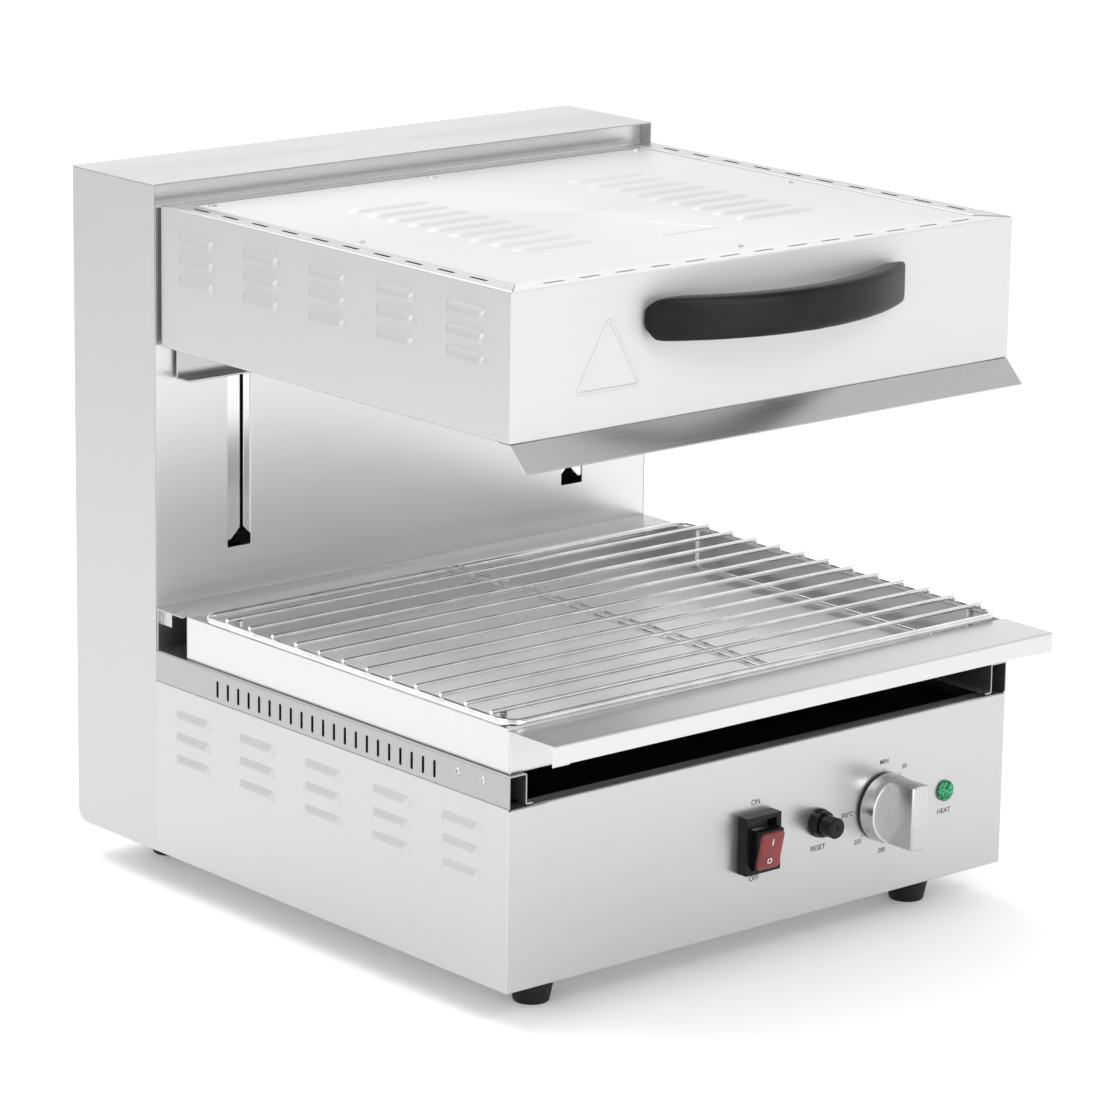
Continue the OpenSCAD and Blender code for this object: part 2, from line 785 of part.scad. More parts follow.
module head_front() {
    mitre = 0.2;
    color("gainsboro") difference() {
        union() {
            block([-head_half, head_y, head_z], [head_half, head_y + sheet, head_top]);
            block([-head_half + 2, head_y, head_z], [head_half - 2, head_y + return_w, head_z + sheet]);
            translate([0, head_y, head_top - sheet]) linear_extrude(sheet)
                polygon([[-head_half, 0], [head_half, 0], [head_half - flange_w, flange_w],
                         [-head_half + flange_w, flange_w]]);
            translate([triangle_x, head_y, triangle_z]) rotate([90, 0, 0])
                linear_extrude(triangle_out) triangle_outline();
        }
        for (i = [0 : front_slot_n - 1])
            translate([(i - (front_slot_n - 1) / 2) * front_slot_pitch, head_y + front_slot_set,
                       head_top - 2 * sheet])
                linear_extrude(3 * sheet) slot_2d(flange_slot_l, flange_slot_w);
        for (s = [-1, 1])
            rod_y(s * handle_screw_x, handle_z, handle_screw_r + 0.1, head_y - 1, head_y + 2 * sheet);
    }
}

// Plain raised outline of a triangle, standing on its base
module triangle_outline() {
    rise = triangle_s * sin(60);
    inset = triangle_rib;
    difference() {
        polygon([[-triangle_s / 2, 0], [triangle_s / 2, 0], [0, rise]]);
        polygon([[-triangle_s / 2 + inset * sqrt(3), inset], [triangle_s / 2 - inset * sqrt(3), inset],
                 [0, rise - 2 * inset]]);
    }
}

head_louvre_n = floor((head_back - head_y - head_louvre_first - 30) / head_louvre_pitch) + 1;
head_louvre_ys = [for (i = [0 : head_louvre_n - 1]) head_y + head_louvre_first + i * head_louvre_pitch];
head_louvre_top = head_top - 18.5;

module head_side(side) {
    edge = head_half - sheet;
    on_side(side) difference() {
        union() {
            block([edge, head_y + sheet, head_z], [head_half, head_back, head_top]);
            block([head_half - return_w, head_y + return_w + 0.3, head_z], [head_half, head_back, head_z + sheet]);
            translate([0, head_y, head_top - sheet]) linear_extrude(sheet)
                polygon([[head_half, sheet], [head_half, head_back - head_y],
                         [head_half - flange_w, head_back - head_y],
                         [head_half - flange_w, flange_w + 0.3], [head_half - sheet, sheet + 0.3]]);
            at_louvres(head_half, head_louvre_ys, head_louvre_top, head_louvre_drop)
                louvre_hood(louvre_l);
        }
        at_louvres(head_half, head_louvre_ys, head_louvre_top, head_louvre_drop)
            louvre_hollow(louvre_l);
        flange_slots_side();
    }
}

module head_side_left() { color("gainsboro") head_side(-1); }
module head_side_right() { color("gainsboro") head_side(1); }

module head_rear_panel() {
    half = head_half - sheet;
    color("gainsboro") {
        block([-half, head_back - sheet, head_z + sheet], [half, head_back, head_top - sheet]);
        block([-head_half + flange_w, head_back - 10, head_top - sheet],
              [head_half - flange_w, head_back, head_top]);
        block([-half, head_back - return_w, head_z + sheet],
              [half, head_back, head_z + 2 * sheet]);
    }
}

module head_cover() {
    half = head_half - flange_w + cover_lap;
    low_y = head_y + flange_w - cover_lap;
    high_y = cover_back + 3;
    mid_y = (head_y + head_back) / 2 + 5;
    color("whitesmoke") difference() {
        union() {
            translate([-half, low_y, cover_z]) linear_extrude(sheet)
                round_2d([2 * half, high_y - low_y], 8);
            at_cover_louvres(mid_y) louvre_hood(cover_louvre_l);
        }
        at_cover_louvres(mid_y) louvre_hollow(cover_louvre_l);
        for (p = cover_screw_places) translate([p.x, p.y, cover_z - 1])
            cylinder(r = 1.7, h = 3 * sheet);
    }
}

// The cover's louvres open towards the back
module at_cover_louvres(mid_y) {
    for (s = [-1, 1], i = [0 : cover_louvre_n - 1])
        translate([s * cover_louvre_x, mid_y + (i - (cover_louvre_n - 1) / 2) * cover_louvre_pitch,
                   cover_z + sheet]) rotate([0, 0, 180]) children();
}

cover_screw_places = [[-cover_screw_x, cover_back - 8], [0, cover_back - 8], [cover_screw_x, cover_back - 8],
                      [-cover_screw_x, (head_y + head_back) / 2 + 5], [cover_screw_x, (head_y + head_back) / 2 + 5],
                      [0, head_y + flange_w + 14]];

module cover_screws() {
    color("silver") for (p = cover_screw_places) translate([p.x, p.y, cover_z]) {
        translate([0, 0, -6]) cylinder(r = 1.6, h = 7);
        translate([0, 0, sheet]) cylinder(r1 = 3.2, r2 = 2.4, h = 1.4);
    }
}

// Plan outline of the handle: an arc with round corners between two feet, with the grip space cut out
module handle_plan() {
    centre_y = handle_R - handle_out;
    corner_x = handle_l / 2 - handle_corner;
    corner_y = centre_y - sqrt(pow(handle_R - handle_corner, 2) - pow(corner_x, 2));
    arc_half = corner_x * handle_R / (handle_R - handle_corner);
    difference() {
        union() {
            intersection() {
                translate([0, centre_y]) circle(r = handle_R, $fn = 180);
                translate([-arc_half, -handle_out - 1]) square([2 * arc_half, handle_out + 1]);
            }
            for (s = [-1, 1]) on_side(s) {
                translate([corner_x, corner_y]) circle(r = handle_corner);
                translate([corner_x, corner_y]) square([handle_corner, -corner_y]);
            }
        }
        intersection() {
            translate([0, centre_y]) circle(r = handle_R - handle_t, $fn = 180);
            translate([-handle_l / 2 + handle_foot, -handle_out]) square([handle_l - 2 * handle_foot, 2 * handle_out]);
        }
    }
}

// Side outline of the handle, whose feet taper towards the panel
module handle_profile() {
    heel = handle_h / 5;
    polygon([[-handle_out - 1, -handle_h / 2], [-handle_taper, -handle_h / 2], [0, -heel],
             [0, heel], [-handle_taper, handle_h / 2], [-handle_out - 1, handle_h / 2]]);
}

module handle() {
    color("#222222") difference() {
        intersection() {
            translate([0, head_y, handle_z - handle_h / 2]) linear_extrude(handle_h) handle_plan();
            translate([-handle_l, head_y, handle_z]) rotate([90, 0, 90])
                linear_extrude(2 * handle_l) handle_profile();
        }
        for (s = [-1, 1])
            rod_y(s * handle_screw_x, handle_z, handle_screw_r + pin_gap, head_y - handle_screw_l, head_y + 1);
    }
}

module handle_screws() {
    color("silver") for (s = [-1, 1]) {
        rod_y(s * handle_screw_x, handle_z, handle_screw_r, head_y - handle_screw_l + 0.5, head_y + 2);
        rod_y(s * handle_screw_x, handle_z, 4.2, head_y + sheet, head_y + sheet + 3);
    }
}

// Sloping lip under the head's front edge, with a folded hem
module deflector() {
    reach = deflector_l * sin(45);
    half = head_half - 0.5;
    hem = 2.5;
    color("silver") translate([-half, head_y, head_z]) rotate([90, 0, 90]) linear_extrude(2 * half)
        polygon([[return_w, 0], [0, 0], [-reach, -reach], [-reach + hem * 0.3, -reach - hem * 0.4],
                 [-reach + hem, -reach - hem * 0.2], [-reach + hem * 1.2, -reach + hem * 0.2],
                 [sheet * 0.5, -sheet], [return_w, -sheet]]);
}

module carriage_plate() {
    low = head_z - carriage_drop;
    color("gainsboro") {
        block([-carriage_half, head_back, low], [carriage_half, head_back + carriage_t, arm_high]);
        block([-carriage_half, head_back - carriage_lip, low],
              [carriage_half, head_back + carriage_t, low + carriage_t]);
    }
}

// Arm through the slot: a tab on the carriage plate and a blade that runs into the column
module lift_arm(side) {
    tab_y = head_back + carriage_t;
    in_x = arm_x - arm_t / 2;
    on_side(side) {
        block([in_x, tab_y, arm_low], [in_x + arm_t, arm_back, arm_high]);
        block([in_x - arm_tab, tab_y, arm_low], [in_x + arm_t, tab_y + carriage_t, arm_high]);
    }
}

module lift_arm_left() { color("silver") lift_arm(-1); }
module lift_arm_right() { color("silver") lift_arm(1); }

module glide_blocks() {
    block_h = 24;
    color("ivory") for (s = [-1, 1], z = [arm_low, arm_high - block_h]) on_side(s)
        block([arm_x + arm_t / 2, guide_y + rail_t + slide_gap, z],
              [arm_x + guide_w - slide_gap, guide_y + guide_d - rail_t - slide_gap, z + block_h]);
}

module crossbar() {
    half = arm_x - arm_t / 2;
    bar_y = column_y + 22;
    color("silver") {
        block([-half, bar_y, bar_z], [half, bar_y + 3, bar_z + 25]);
        block([-half, bar_y, bar_z], [half, strut_y + 10, bar_z + 3]);
    }
}

module strut_rods() {
    color("silver") for (s = [-1, 1]) translate([s * strut_x, strut_y, 0]) {
        translate([0, 0, piston_z]) cylinder(r = strut_bore_r - 0.1, h = piston_h);
        translate([0, 0, piston_z]) cylinder(r = strut_rod_r, h = bar_z - piston_z);
    }
}

// Inverted tray that throws the heat down
module reflector() {
    out = 5;
    color("silver") difference() {
        union() {
            block([-reflector_half, reflector_front, reflector_z],
                  [reflector_half, reflector_back, reflector_z + reflector_h]);
            block([-reflector_half - out, reflector_front - out, reflector_z],
                  [reflector_half + out, reflector_back, reflector_z + sheet]);
        }
        block([-reflector_half + sheet, reflector_front + sheet, reflector_z - 1],
              [reflector_half - sheet, reflector_back - sheet, reflector_z + reflector_h - sheet]);
        for (x = element_legs)
            rod_y(x, element_z, element_r + 0.2, reflector_back - 3, reflector_back + 2);
    }
}

element_xs = [for (i = [0 : element_n - 1]) (i - (element_n - 1) / 2) * element_pitch];
element_legs = [for (x = element_xs, s = [-1, 1]) x + s * element_gap / 2];

module insulation_pad() {
    pad_z = reflector_z + reflector_h;
    color("khaki") block([-reflector_half + 4, reflector_front + 4, pad_z],
                         [reflector_half - 4, reflector_back - 4, pad_z + pad_h]);
}

// Hairpin tube elements: two legs, a round bend at the front and pins at the back
module heating_elements() {
    bend_y = reflector_front + 20 + element_gap / 2;
    color("#6b625a") for (x = element_xs) {
        for (s = [-1, 1]) {
            rod_y(x + s * element_gap / 2, element_z, element_r, bend_y, reflector_back + 1);
            rod_y(x + s * element_gap / 2, element_z, 1.8, reflector_back, reflector_back + 8);
        }
        translate([x, bend_y, element_z]) rotate([0, 0, 180]) rotate_extrude(angle = 180)
            translate([element_gap / 2, 0]) circle(r = element_r, $fn = 24);
    }
}

module element_supports() {
    top = element_z - element_r - seat;
    span = reflector_back - reflector_front;
    color("silver") for (f = [0.3, 0.75])
        block([-reflector_half + sheet, reflector_front + span * f, top - support_t],
              [reflector_half - sheet, reflector_front + span * f + 12, top]);
}

base_front_panel();
base_side_left();
base_side_right();
bottom_plate();
inner_deck();
vent_rail_left();
vent_rail_right();
rail_rivets();
rear_shelf();
feet();
foot_screws();
switch_housing();
switch_rocker();
reset_collar();
reset_button();
limit_thermostat();
control_knob();
thermostat_shaft();
thermostat();
lamp_lens();
lamp_body();
terminal_block();
cable_gland();
column_side_left();
column_side_right();
column_top_cap();
column_front_plate();
column_header();
slot_strips();
back_cover();
back_screws();
guide_rail_left();
guide_rail_right();
strut_cylinders();
strut_brackets();
drip_tray();
rack_frame();
rack_rods();
rack_legs();
head_front();
head_side_left();
head_side_right();
head_rear_panel();
head_cover();
cover_screws();
handle();
handle_screws();
deflector();
carriage_plate();
lift_arm_left();
lift_arm_right();
glide_blocks();
crossbar();
strut_rods();
reflector();
insulation_pad();
heating_elements();
element_supports();
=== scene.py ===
"""Looks of the countertop lift grill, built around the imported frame. Metres; lengths below are in mm."""
import json
import math

import bmesh
import bpy
from mathutils import Matrix, Vector

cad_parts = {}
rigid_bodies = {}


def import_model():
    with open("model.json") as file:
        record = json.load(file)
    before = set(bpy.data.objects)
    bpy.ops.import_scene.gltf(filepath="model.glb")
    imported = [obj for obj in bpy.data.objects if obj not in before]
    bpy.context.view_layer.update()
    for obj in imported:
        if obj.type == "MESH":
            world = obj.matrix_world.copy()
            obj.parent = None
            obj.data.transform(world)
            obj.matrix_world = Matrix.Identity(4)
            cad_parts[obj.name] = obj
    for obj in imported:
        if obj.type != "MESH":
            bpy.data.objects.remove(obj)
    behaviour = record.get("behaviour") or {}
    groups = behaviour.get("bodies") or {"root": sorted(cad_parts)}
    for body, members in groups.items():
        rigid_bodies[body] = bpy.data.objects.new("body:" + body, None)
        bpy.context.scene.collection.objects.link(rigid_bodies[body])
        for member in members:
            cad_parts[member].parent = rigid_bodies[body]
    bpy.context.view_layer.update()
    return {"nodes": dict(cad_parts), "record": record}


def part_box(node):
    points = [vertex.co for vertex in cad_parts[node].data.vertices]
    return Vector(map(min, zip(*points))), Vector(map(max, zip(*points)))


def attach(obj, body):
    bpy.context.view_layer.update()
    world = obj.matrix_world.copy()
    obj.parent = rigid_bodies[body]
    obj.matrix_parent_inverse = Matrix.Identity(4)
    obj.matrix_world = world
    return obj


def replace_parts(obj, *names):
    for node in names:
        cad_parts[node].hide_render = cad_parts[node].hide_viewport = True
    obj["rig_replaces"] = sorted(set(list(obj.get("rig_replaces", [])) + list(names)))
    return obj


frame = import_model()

MM = 0.001
NODES = frame["nodes"]
RECORD = frame["record"]
SLOT = {part["node"]: part["material_slot"] for part in RECORD["subparts"]}
BODY = {n: body for body, names in RECORD["behaviour"]["bodies"].items() for n in names}


def box_mm(node):
    """Lowest and highest corner of a CAD node, in mm."""
    lo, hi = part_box(node)
    return lo / MM, hi / MM


def middle(lo, hi):
    return (lo + hi) / 2


# ---- sizes, from the frame ----

panel_lo, panel_hi = box_mm("base_front_panel")
tray_lo, tray_hi = box_mm("drip_tray")
head_lo, head_hi = box_mm("head_front")
head_side_lo, head_side_hi = box_mm("head_side_right")
cover_lo, cover_hi = box_mm("head_cover")
knob_lo, knob_hi = box_mm("control_knob")
lens_lo, lens_hi = box_mm("lamp_lens")
button_lo, button_hi = box_mm("reset_button")
switch_lo, switch_hi = box_mm("switch_housing")
rods_lo, rods_hi = box_mm("rack_rods")
rack_lo, rack_hi = box_mm("rack_frame")

# thickness of all the sheet metal
SHEET = 1.0
half_w = panel_hi.x
front_y = panel_lo.y
foot_h = panel_lo.z
base_top = panel_hi.z
column_y = box_mm("column_side_right")[0].y
rail_top = box_mm("vent_rail_right")[1].z
collar_back = box_mm("reset_collar")[1].y
rim_z = tray_hi.z
tray_z = tray_lo.z
lip_y = tray_lo.y
tray_back = tray_hi.y
head_half = head_hi.x
head_y = head_side_lo.y - SHEET
head_z = head_lo.z
head_top = head_hi.z
head_back = head_side_hi.y
knob_x = middle(knob_lo.x, knob_hi.x)
control_z = middle(knob_lo.z, knob_hi.z)
knob_r = (knob_hi.z - knob_lo.z) / 2
lamp_x = middle(lens_lo.x, lens_hi.x)
lamp_r = (lens_hi.x - lens_lo.x) / 2
reset_x = middle(button_lo.x, button_hi.x)
switch_x = middle(switch_lo.x, switch_hi.x)
switch_z = middle(switch_lo.z, switch_hi.z)


LEFT, RIGHT = -1, 1
TO_FRONT = (0, -1, 0)


# ---- materials ----

def blank(name):
    """A new material with a Principled shader alone."""
    mat = bpy.data.materials.new(name)
    mat.use_nodes = True
    tree = mat.node_tree
    tree.nodes.clear()
    out = tree.nodes.new("ShaderNodeOutputMaterial")
    shader = tree.nodes.new("ShaderNodeBsdfPrincipled")
    tree.links.new(shader.outputs[0], out.inputs["Surface"])
    return mat, tree, shader


def noise(tree, scale, detail):
    """Noise in the object's own metres. A three-part scale stretches it."""
    coords = tree.nodes.new("ShaderNodeTexCoord")
    mapping = tree.nodes.new("ShaderNodeMapping")
    mapping.inputs["Scale"].default_value = scale if hasattr(scale, "__len__") else (scale,) * 3
    texture = tree.nodes.new("ShaderNodeTexNoise")
    texture.inputs["Scale"].default_value = 1.0
    texture.inputs["Detail"].default_value = detail
    texture.inputs["Roughness"].default_value = 0.55
    tree.links.new(coords.outputs["Object"], mapping.inputs["Vector"])
    tree.links.new(mapping.outputs["Vector"], texture.inputs["Vector"])
    return texture.outputs["Fac"]


# the part of a noise's range that holds nearly all of it
NOISE_LOW, NOISE_HIGH = 0.3, 0.7


def spread(tree, value, low, high, start=NOISE_LOW, end=NOISE_HIGH):
    """Maps start..end to low..high."""
    node = tree.nodes.new("ShaderNodeMapRange")
    node.inputs["From Min"].default_value = start
    node.inputs["From Max"].default_value = end
    node.inputs["To Min"].default_value = low
    node.inputs["To Max"].default_value = high
    tree.links.new(value, node.inputs["Value"])
    return node.outputs["Result"]


def math_node(tree, kind, a, b):
    node = tree.nodes.new("ShaderNodeMath")
    node.operation = kind
    for socket, value in zip(node.inputs, (a, b)):
        if isinstance(value, (int, float)):
            socket.default_value = value
        else:
            tree.links.new(value, socket)
    return node.outputs[0]


def two_tone(tree, value, dark, light):
    """A colour between dark and light."""
    ramp = tree.nodes.new("ShaderNodeValToRGB")
    for stop, place, color in zip(ramp.color_ramp.elements, (NOISE_LOW, NOISE_HIGH), (dark, light)):
        stop.position = place
        stop.color = (*color, 1)
    tree.links.new(value, ramp.inputs["Fac"])
    return ramp.outputs["Color"]


def bump(tree, shader, value, distance, after=None):
    """Surface relief, distance metres deep, on top of an earlier bump."""
    node = tree.nodes.new("ShaderNodeBump")
    node.inputs["Strength"].default_value = 1.0
    node.inputs["Distance"].default_value = distance
    tree.links.new(value, node.inputs["Height"])
    if after is not None:
        tree.links.new(after, node.inputs["Normal"])
    tree.links.new(node.outputs["Normal"], shader.inputs["Normal"])
    return node.outputs["Normal"]


# noise scales that draw a grain out along one axis
GRAINS = {"x": (9, 1900, 1900), "y": (1900, 9, 1900), "z": (1900, 1900, 9)}


def steel(name, grain, tone, rough=(0.26, 0.32), aniso=0.45, depth=0.0000004, wave=0.00006,
          metallic=0.96, contrast=0.02):
    """Brushed stainless sheet: fine scratches along the grain, faint stains and a slightly wavy surface."""
    mat, tree, shader = blank(name)
    fine = noise(tree, GRAINS[grain], 2)
    bands = noise(tree, [v / 7 for v in GRAINS[grain]], 2)
    broad = noise(tree, 7, 2)
    fine_part = math_node(tree, "MULTIPLY", fine, 0.6)
    mixed = math_node(tree, "ADD", fine_part, math_node(tree, "MULTIPLY", bands, 0.2))
    mixed = math_node(tree, "ADD", mixed, math_node(tree, "MULTIPLY", broad, 0.2))
    dark = [tone * (1 - contrast)] * 3
    light = [min(1, tone * (1 + contrast))] * 3
    tree.links.new(two_tone(tree, mixed, dark, light), shader.inputs["Base Color"])
    shader.inputs["Metallic"].default_value = metallic
    tree.links.new(spread(tree, mixed, *rough), shader.inputs["Roughness"])
    shader.inputs["Anisotropic"].default_value = aniso
    tangent = tree.nodes.new("ShaderNodeTangent")
    tangent.direction_type = "RADIAL"
    tangent.axis = "Z" if grain in "xy" else "Y"
    tree.links.new(tangent.outputs[0], shader.inputs["Tangent"])
    wavy = bump(tree, shader, noise(tree, 5, 1), wave)
    bump(tree, shader, fine, depth, wavy)
    return mat


def metal(name, tone, rough, scale, depth, tint=(1, 1, 1), metallic=1.0):
    """Plain metal with patches of tone and roughness and a fine surface."""
    mat, tree, shader = blank(name)
    patches = noise(tree, scale, 3)
    tree.links.new(two_tone(tree, patches, [tone * 0.85 * t for t in tint], [tone * 1.08 * t for t in tint]),
                   shader.inputs["Base Color"])
    shader.inputs["Metallic"].default_value = metallic
    tree.links.new(spread(tree, patches, *rough), shader.inputs["Roughness"])
    bump(tree, shader, noise(tree, [scale * 4] * 3, 3), depth)
    return mat


def galvanised():
    """Zinc-coated sheet with crystal patches."""
    mat, tree, shader = blank("galvanised_sheet")
    coords = tree.nodes.new("ShaderNodeTexCoord")
    spangle = tree.nodes.new("ShaderNodeTexVoronoi")
    spangle.inputs["Scale"].default_value = 130
    tree.links.new(coords.outputs["Object"], spangle.inputs["Vector"])
    split = tree.nodes.new("ShaderNodeSeparateColor")
    tree.links.new(spangle.outputs["Color"], split.inputs[0])
    tree.links.new(two_tone(tree, split.outputs[0], (0.50, 0.51, 0.53), (0.64, 0.65, 0.67)),
                   shader.inputs["Base Color"])
    shader.inputs["Metallic"].default_value = 0.95
    tree.links.new(spread(tree, split.outputs[1], 0.34, 0.52, 0, 1), shader.inputs["Roughness"])
    bump(tree, shader, noise(tree, 900, 3), 0.00001)
    return mat


def plastic(name, dark, light, rough, scale=2600, depth=0.00002, coat=0.0, gloss=0.5):
    """Moulded plastic or rubber with a fine texture."""
    mat, tree, shader = blank(name)
    broad = noise(tree, 40, 3)
    tree.links.new(two_tone(tree, broad, dark, light), shader.inputs["Base Color"])
    tree.links.new(spread(tree, broad, *rough), shader.inputs["Roughness"])
    shader.inputs["Coat Weight"].default_value = coat
    shader.inputs["Specular IOR Level"].default_value = gloss
    bump(tree, shader, noise(tree, scale, 2), depth)
    return mat


def faceted_lens():
    """Green lens whose small facets differ in depth of colour."""
    mat, tree, shader = blank("green_lens_plastic")
    coords = tree.nodes.new("ShaderNodeTexCoord")
    cells = tree.nodes.new("ShaderNodeTexVoronoi")
    cells.inputs["Scale"].default_value = 650
    tree.links.new(coords.outputs["Object"], cells.inputs["Vector"])
    split = tree.nodes.new("ShaderNodeSeparateColor")
    tree.links.new(cells.outputs["Color"], split.inputs[0])
    tree.links.new(two_tone(tree, split.outputs[0], (0.002, 0.085, 0.03), (0.03, 0.36, 0.15)),
                   shader.inputs["Base Color"])
    tree.links.new(spread(tree, split.outputs[1], 0.06, 0.3, 0, 1), shader.inputs["Roughness"])
    shader.inputs["Specular IOR Level"].default_value = 0.35
    bump(tree, shader, cells.outputs["Distance"], 0.0004)
    return mat


def turned_metal(name, tone, rough, aniso):
    """Metal turned on a lathe: fine rings about its axis, which lies front to back."""
    mat, tree, shader = blank(name)
    fine = noise(tree, 60, 2)
    tree.links.new(two_tone(tree, fine, [tone * 0.98] * 3, [tone * 1.02] * 3), shader.inputs["Base Color"])
    shader.inputs["Metallic"].default_value = 1.0
    tree.links.new(spread(tree, fine, *rough), shader.inputs["Roughness"])
    shader.inputs["Anisotropic"].default_value = aniso
    tangent = tree.nodes.new("ShaderNodeTangent")
    tangent.direction_type = "RADIAL"
    tangent.axis = "Y"
    tree.links.new(tangent.outputs[0], shader.inputs["Tangent"])
    bump(tree, shader, noise(tree, (900, 200, 900), 1), 0.0000002)
    return mat


BLACK = (0.003, 0.003, 0.003)
NEAR_BLACK = (0.008, 0.008, 0.008)

MATS = {
    "front": steel("control_panel_steel", "x", 0.55, (0.28, 0.34), 0.4),
    "steel_x": steel("brushed_steel_x", "x", 0.54),
    "steel_y": steel("brushed_steel_y", "y", 0.53, (0.28, 0.34), 0.4),
    "steel_z": steel("brushed_steel_z", "z", 0.51, (0.28, 0.34), 0.4),
    "head_front": steel("head_front_steel", "x", 0.60, (0.44, 0.50), 0.3, 0.0000003, 0.00004, 0.3),
    "rail": steel("vent_rail_steel", "y", 0.40),
    "deflector": steel("deflector_steel", "x", 0.55, (0.26, 0.32), 0.45),
    "column": steel("column_plate_steel", "x", 0.74, (0.30, 0.34), 0.5, 0.00000003, 0.00006, 0.88, 0.008),
    "strip": steel("slot_strip_steel", "z", 0.78, (0.10, 0.14), 0.3, 0.0000002, 0.0001, 0.95, 0.01),
    # painted light: the tray floor's near-white, barely metallic colour brightens the shaded floor in place
    # of the reflected light its polished steel shows
    "tray_floor": steel("polished_tray_steel", "x", 0.98, (0.18, 0.22), 0.3, 0.0000001, 0.00004, 0.12, 0.01),
    "tray_wall": steel("folded_tray_steel", "x", 0.64, (0.30, 0.34), 0.35, 0.00000003, 0.00001, 0.85, 0.01),
    "cover": steel("head_cover_steel", "x", 0.60, (0.40, 0.46), 0.3, 0.0000003, metallic=0.6),
    "galvanised": galvanised(),
    "zinc_steel": metal("zinc_plated_steel", 0.62, (0.22, 0.38), 60, 0.00001, (1, 1, 1.02)),
    "black_steel": metal("painted_cylinder", 0.05, (0.3, 0.45), 80, 0.00001, metallic=0.0),
    "element_steel": metal("heat_darkened_tube", 0.22, (0.42, 0.62), 55, 0.00002, (1, 0.93, 0.86)),
    "chrome_wire": metal("bright_chrome_wire", 0.84, (0.06, 0.12), 45, 0.000003),
    "knob_metal": turned_metal("satin_knob_metal", 0.66, (0.24, 0.28), 0.45),
    "knob_bar": turned_metal("milled_knob_bar", 0.56, (0.26, 0.32), 0.0),
    "rubber": plastic("moulded_rubber", BLACK, NEAR_BLACK, (0.5, 0.62), 1800, 0.00003, gloss=0.3),
    "handle": plastic("moulded_handle_plastic", BLACK, NEAR_BLACK, (0.30, 0.36), 2600, 0.000012, gloss=0.2),
    "black_plastic": plastic("textured_black_plastic", (0.010, 0.010, 0.010), (0.02, 0.02, 0.02),
                             (0.42, 0.52)),
    "gloss_black": plastic("smooth_black_plastic", BLACK, NEAR_BLACK, (0.12, 0.2), 900, 0.000003, gloss=0.2),
    # The deck's near-black is painted shade: it stands in for the deep shade in the cavity under the tray.
    "deck": plastic("soot_black_paint", BLACK, NEAR_BLACK, (0.7, 0.85), 1500, 0.00002, gloss=0.08),
    "red_plastic": plastic("translucent_red_plastic", (0.09, 0.001, 0.001), (0.24, 0.003, 0.003),
                           (0.08, 0.14), 600, 0.000003, 0.4),
    "green_lens": faceted_lens(),
    "ivory_plastic": plastic("moulded_nylon", (0.70, 0.68, 0.58), (0.80, 0.78, 0.68), (0.35, 0.5)),
    "mineral_wool": plastic("pressed_wool", (0.42, 0.37, 0.22), (0.68, 0.62, 0.42), (0.85, 0.95), 500,
                            0.0006),
    "ink": plastic("printed_ink", (0.018, 0.018, 0.02), (0.03, 0.03, 0.032), (0.5, 0.6)),
    "white_ink": plastic("white_inlay", (0.78, 0.78, 0.76), (0.88, 0.88, 0.86), (0.35, 0.45)),
}
SLOT_MAT = {slot: MATS.get(slot) for slot in set(SLOT.values())}
SLOT_MAT["stainless"] = MATS["steel_x"]


# ---- building pieces ----

def linked(name, data):
    """A new object in the scene."""
    obj = bpy.data.objects.new(name, data)
    bpy.context.scene.collection.objects.link(obj)
    return obj


def new_object(name, verts, faces):
    mesh = bpy.data.meshes.new(name)
    mesh.from_pydata([tuple(v) for v in verts], [], faces)
    mesh.update()
    return linked(name, mesh)


def evaluated_mesh(obj):
    bpy.context.view_layer.update()
    graph = bpy.context.evaluated_depsgraph_get()
    return bpy.data.meshes.new_from_object(obj.evaluated_get(graph))


def edit(obj, *steps):
    """Runs bmesh steps on an object's mesh."""
    work = bmesh.new()
    work.from_mesh(obj.data)
    for step in steps:
        step(work)
    work.to_mesh(obj.data)
    work.free()
    obj.data.update()
    return obj


def merge(work):
    bmesh.ops.remove_doubles(work, verts=work.verts, dist=0.002 * MM)
    bmesh.ops.dissolve_degenerate(work, dist=0.001 * MM, edges=work.edges)


def outward(work):
    bmesh.ops.recalc_face_normals(work, faces=work.faces)


def smooth(obj, angle=35):
    obj.data.shade_smooth()
    obj.data.set_sharp_from_angle(angle=math.radians(angle))
    return obj


def modifier(obj, kind, **values):
    mod = obj.modifiers.new(kind.lower(), kind)
    for key, value in values.items():
        setattr(mod, key, value)
    return mod


def apply_all(obj):
    """Turns an object's modifiers into its mesh."""
    mesh = evaluated_mesh(obj)
    obj.modifiers.clear()
    obj.data = mesh
    return obj


def join(name, pieces):
    """One object from several, keeping their materials."""
    with bpy.context.temp_override(active_object=pieces[0], object=pieces[0], selected_objects=pieces,
                                   selected_editable_objects=pieces):
        bpy.ops.object.join()
    pieces[0].name = name
    return pieces[0]


def install(obj, node, mat=None, replaced=None):
    """Puts a piece on the body of a CAD node, with the given material if there is one, in its place."""
    if mat is not None:
        obj.data.materials.clear()
        obj.data.materials.append(mat)
    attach(obj, BODY[node])
    for name in (node,) if replaced is None else replaced:
        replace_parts(obj, name)
    return obj


def cad_copy(node, name):
    """The CAD node's shape as a clean new mesh."""
    source = NODES[node].data
    obj = new_object(name, [v.co for v in source.vertices], [tuple(p.vertices) for p in source.polygons])

    def flatten(work):
        bmesh.ops.dissolve_limit(work, angle_limit=math.radians(0.6), verts=work.verts, edges=work.edges)

    return edit(obj, merge, flatten, outward)


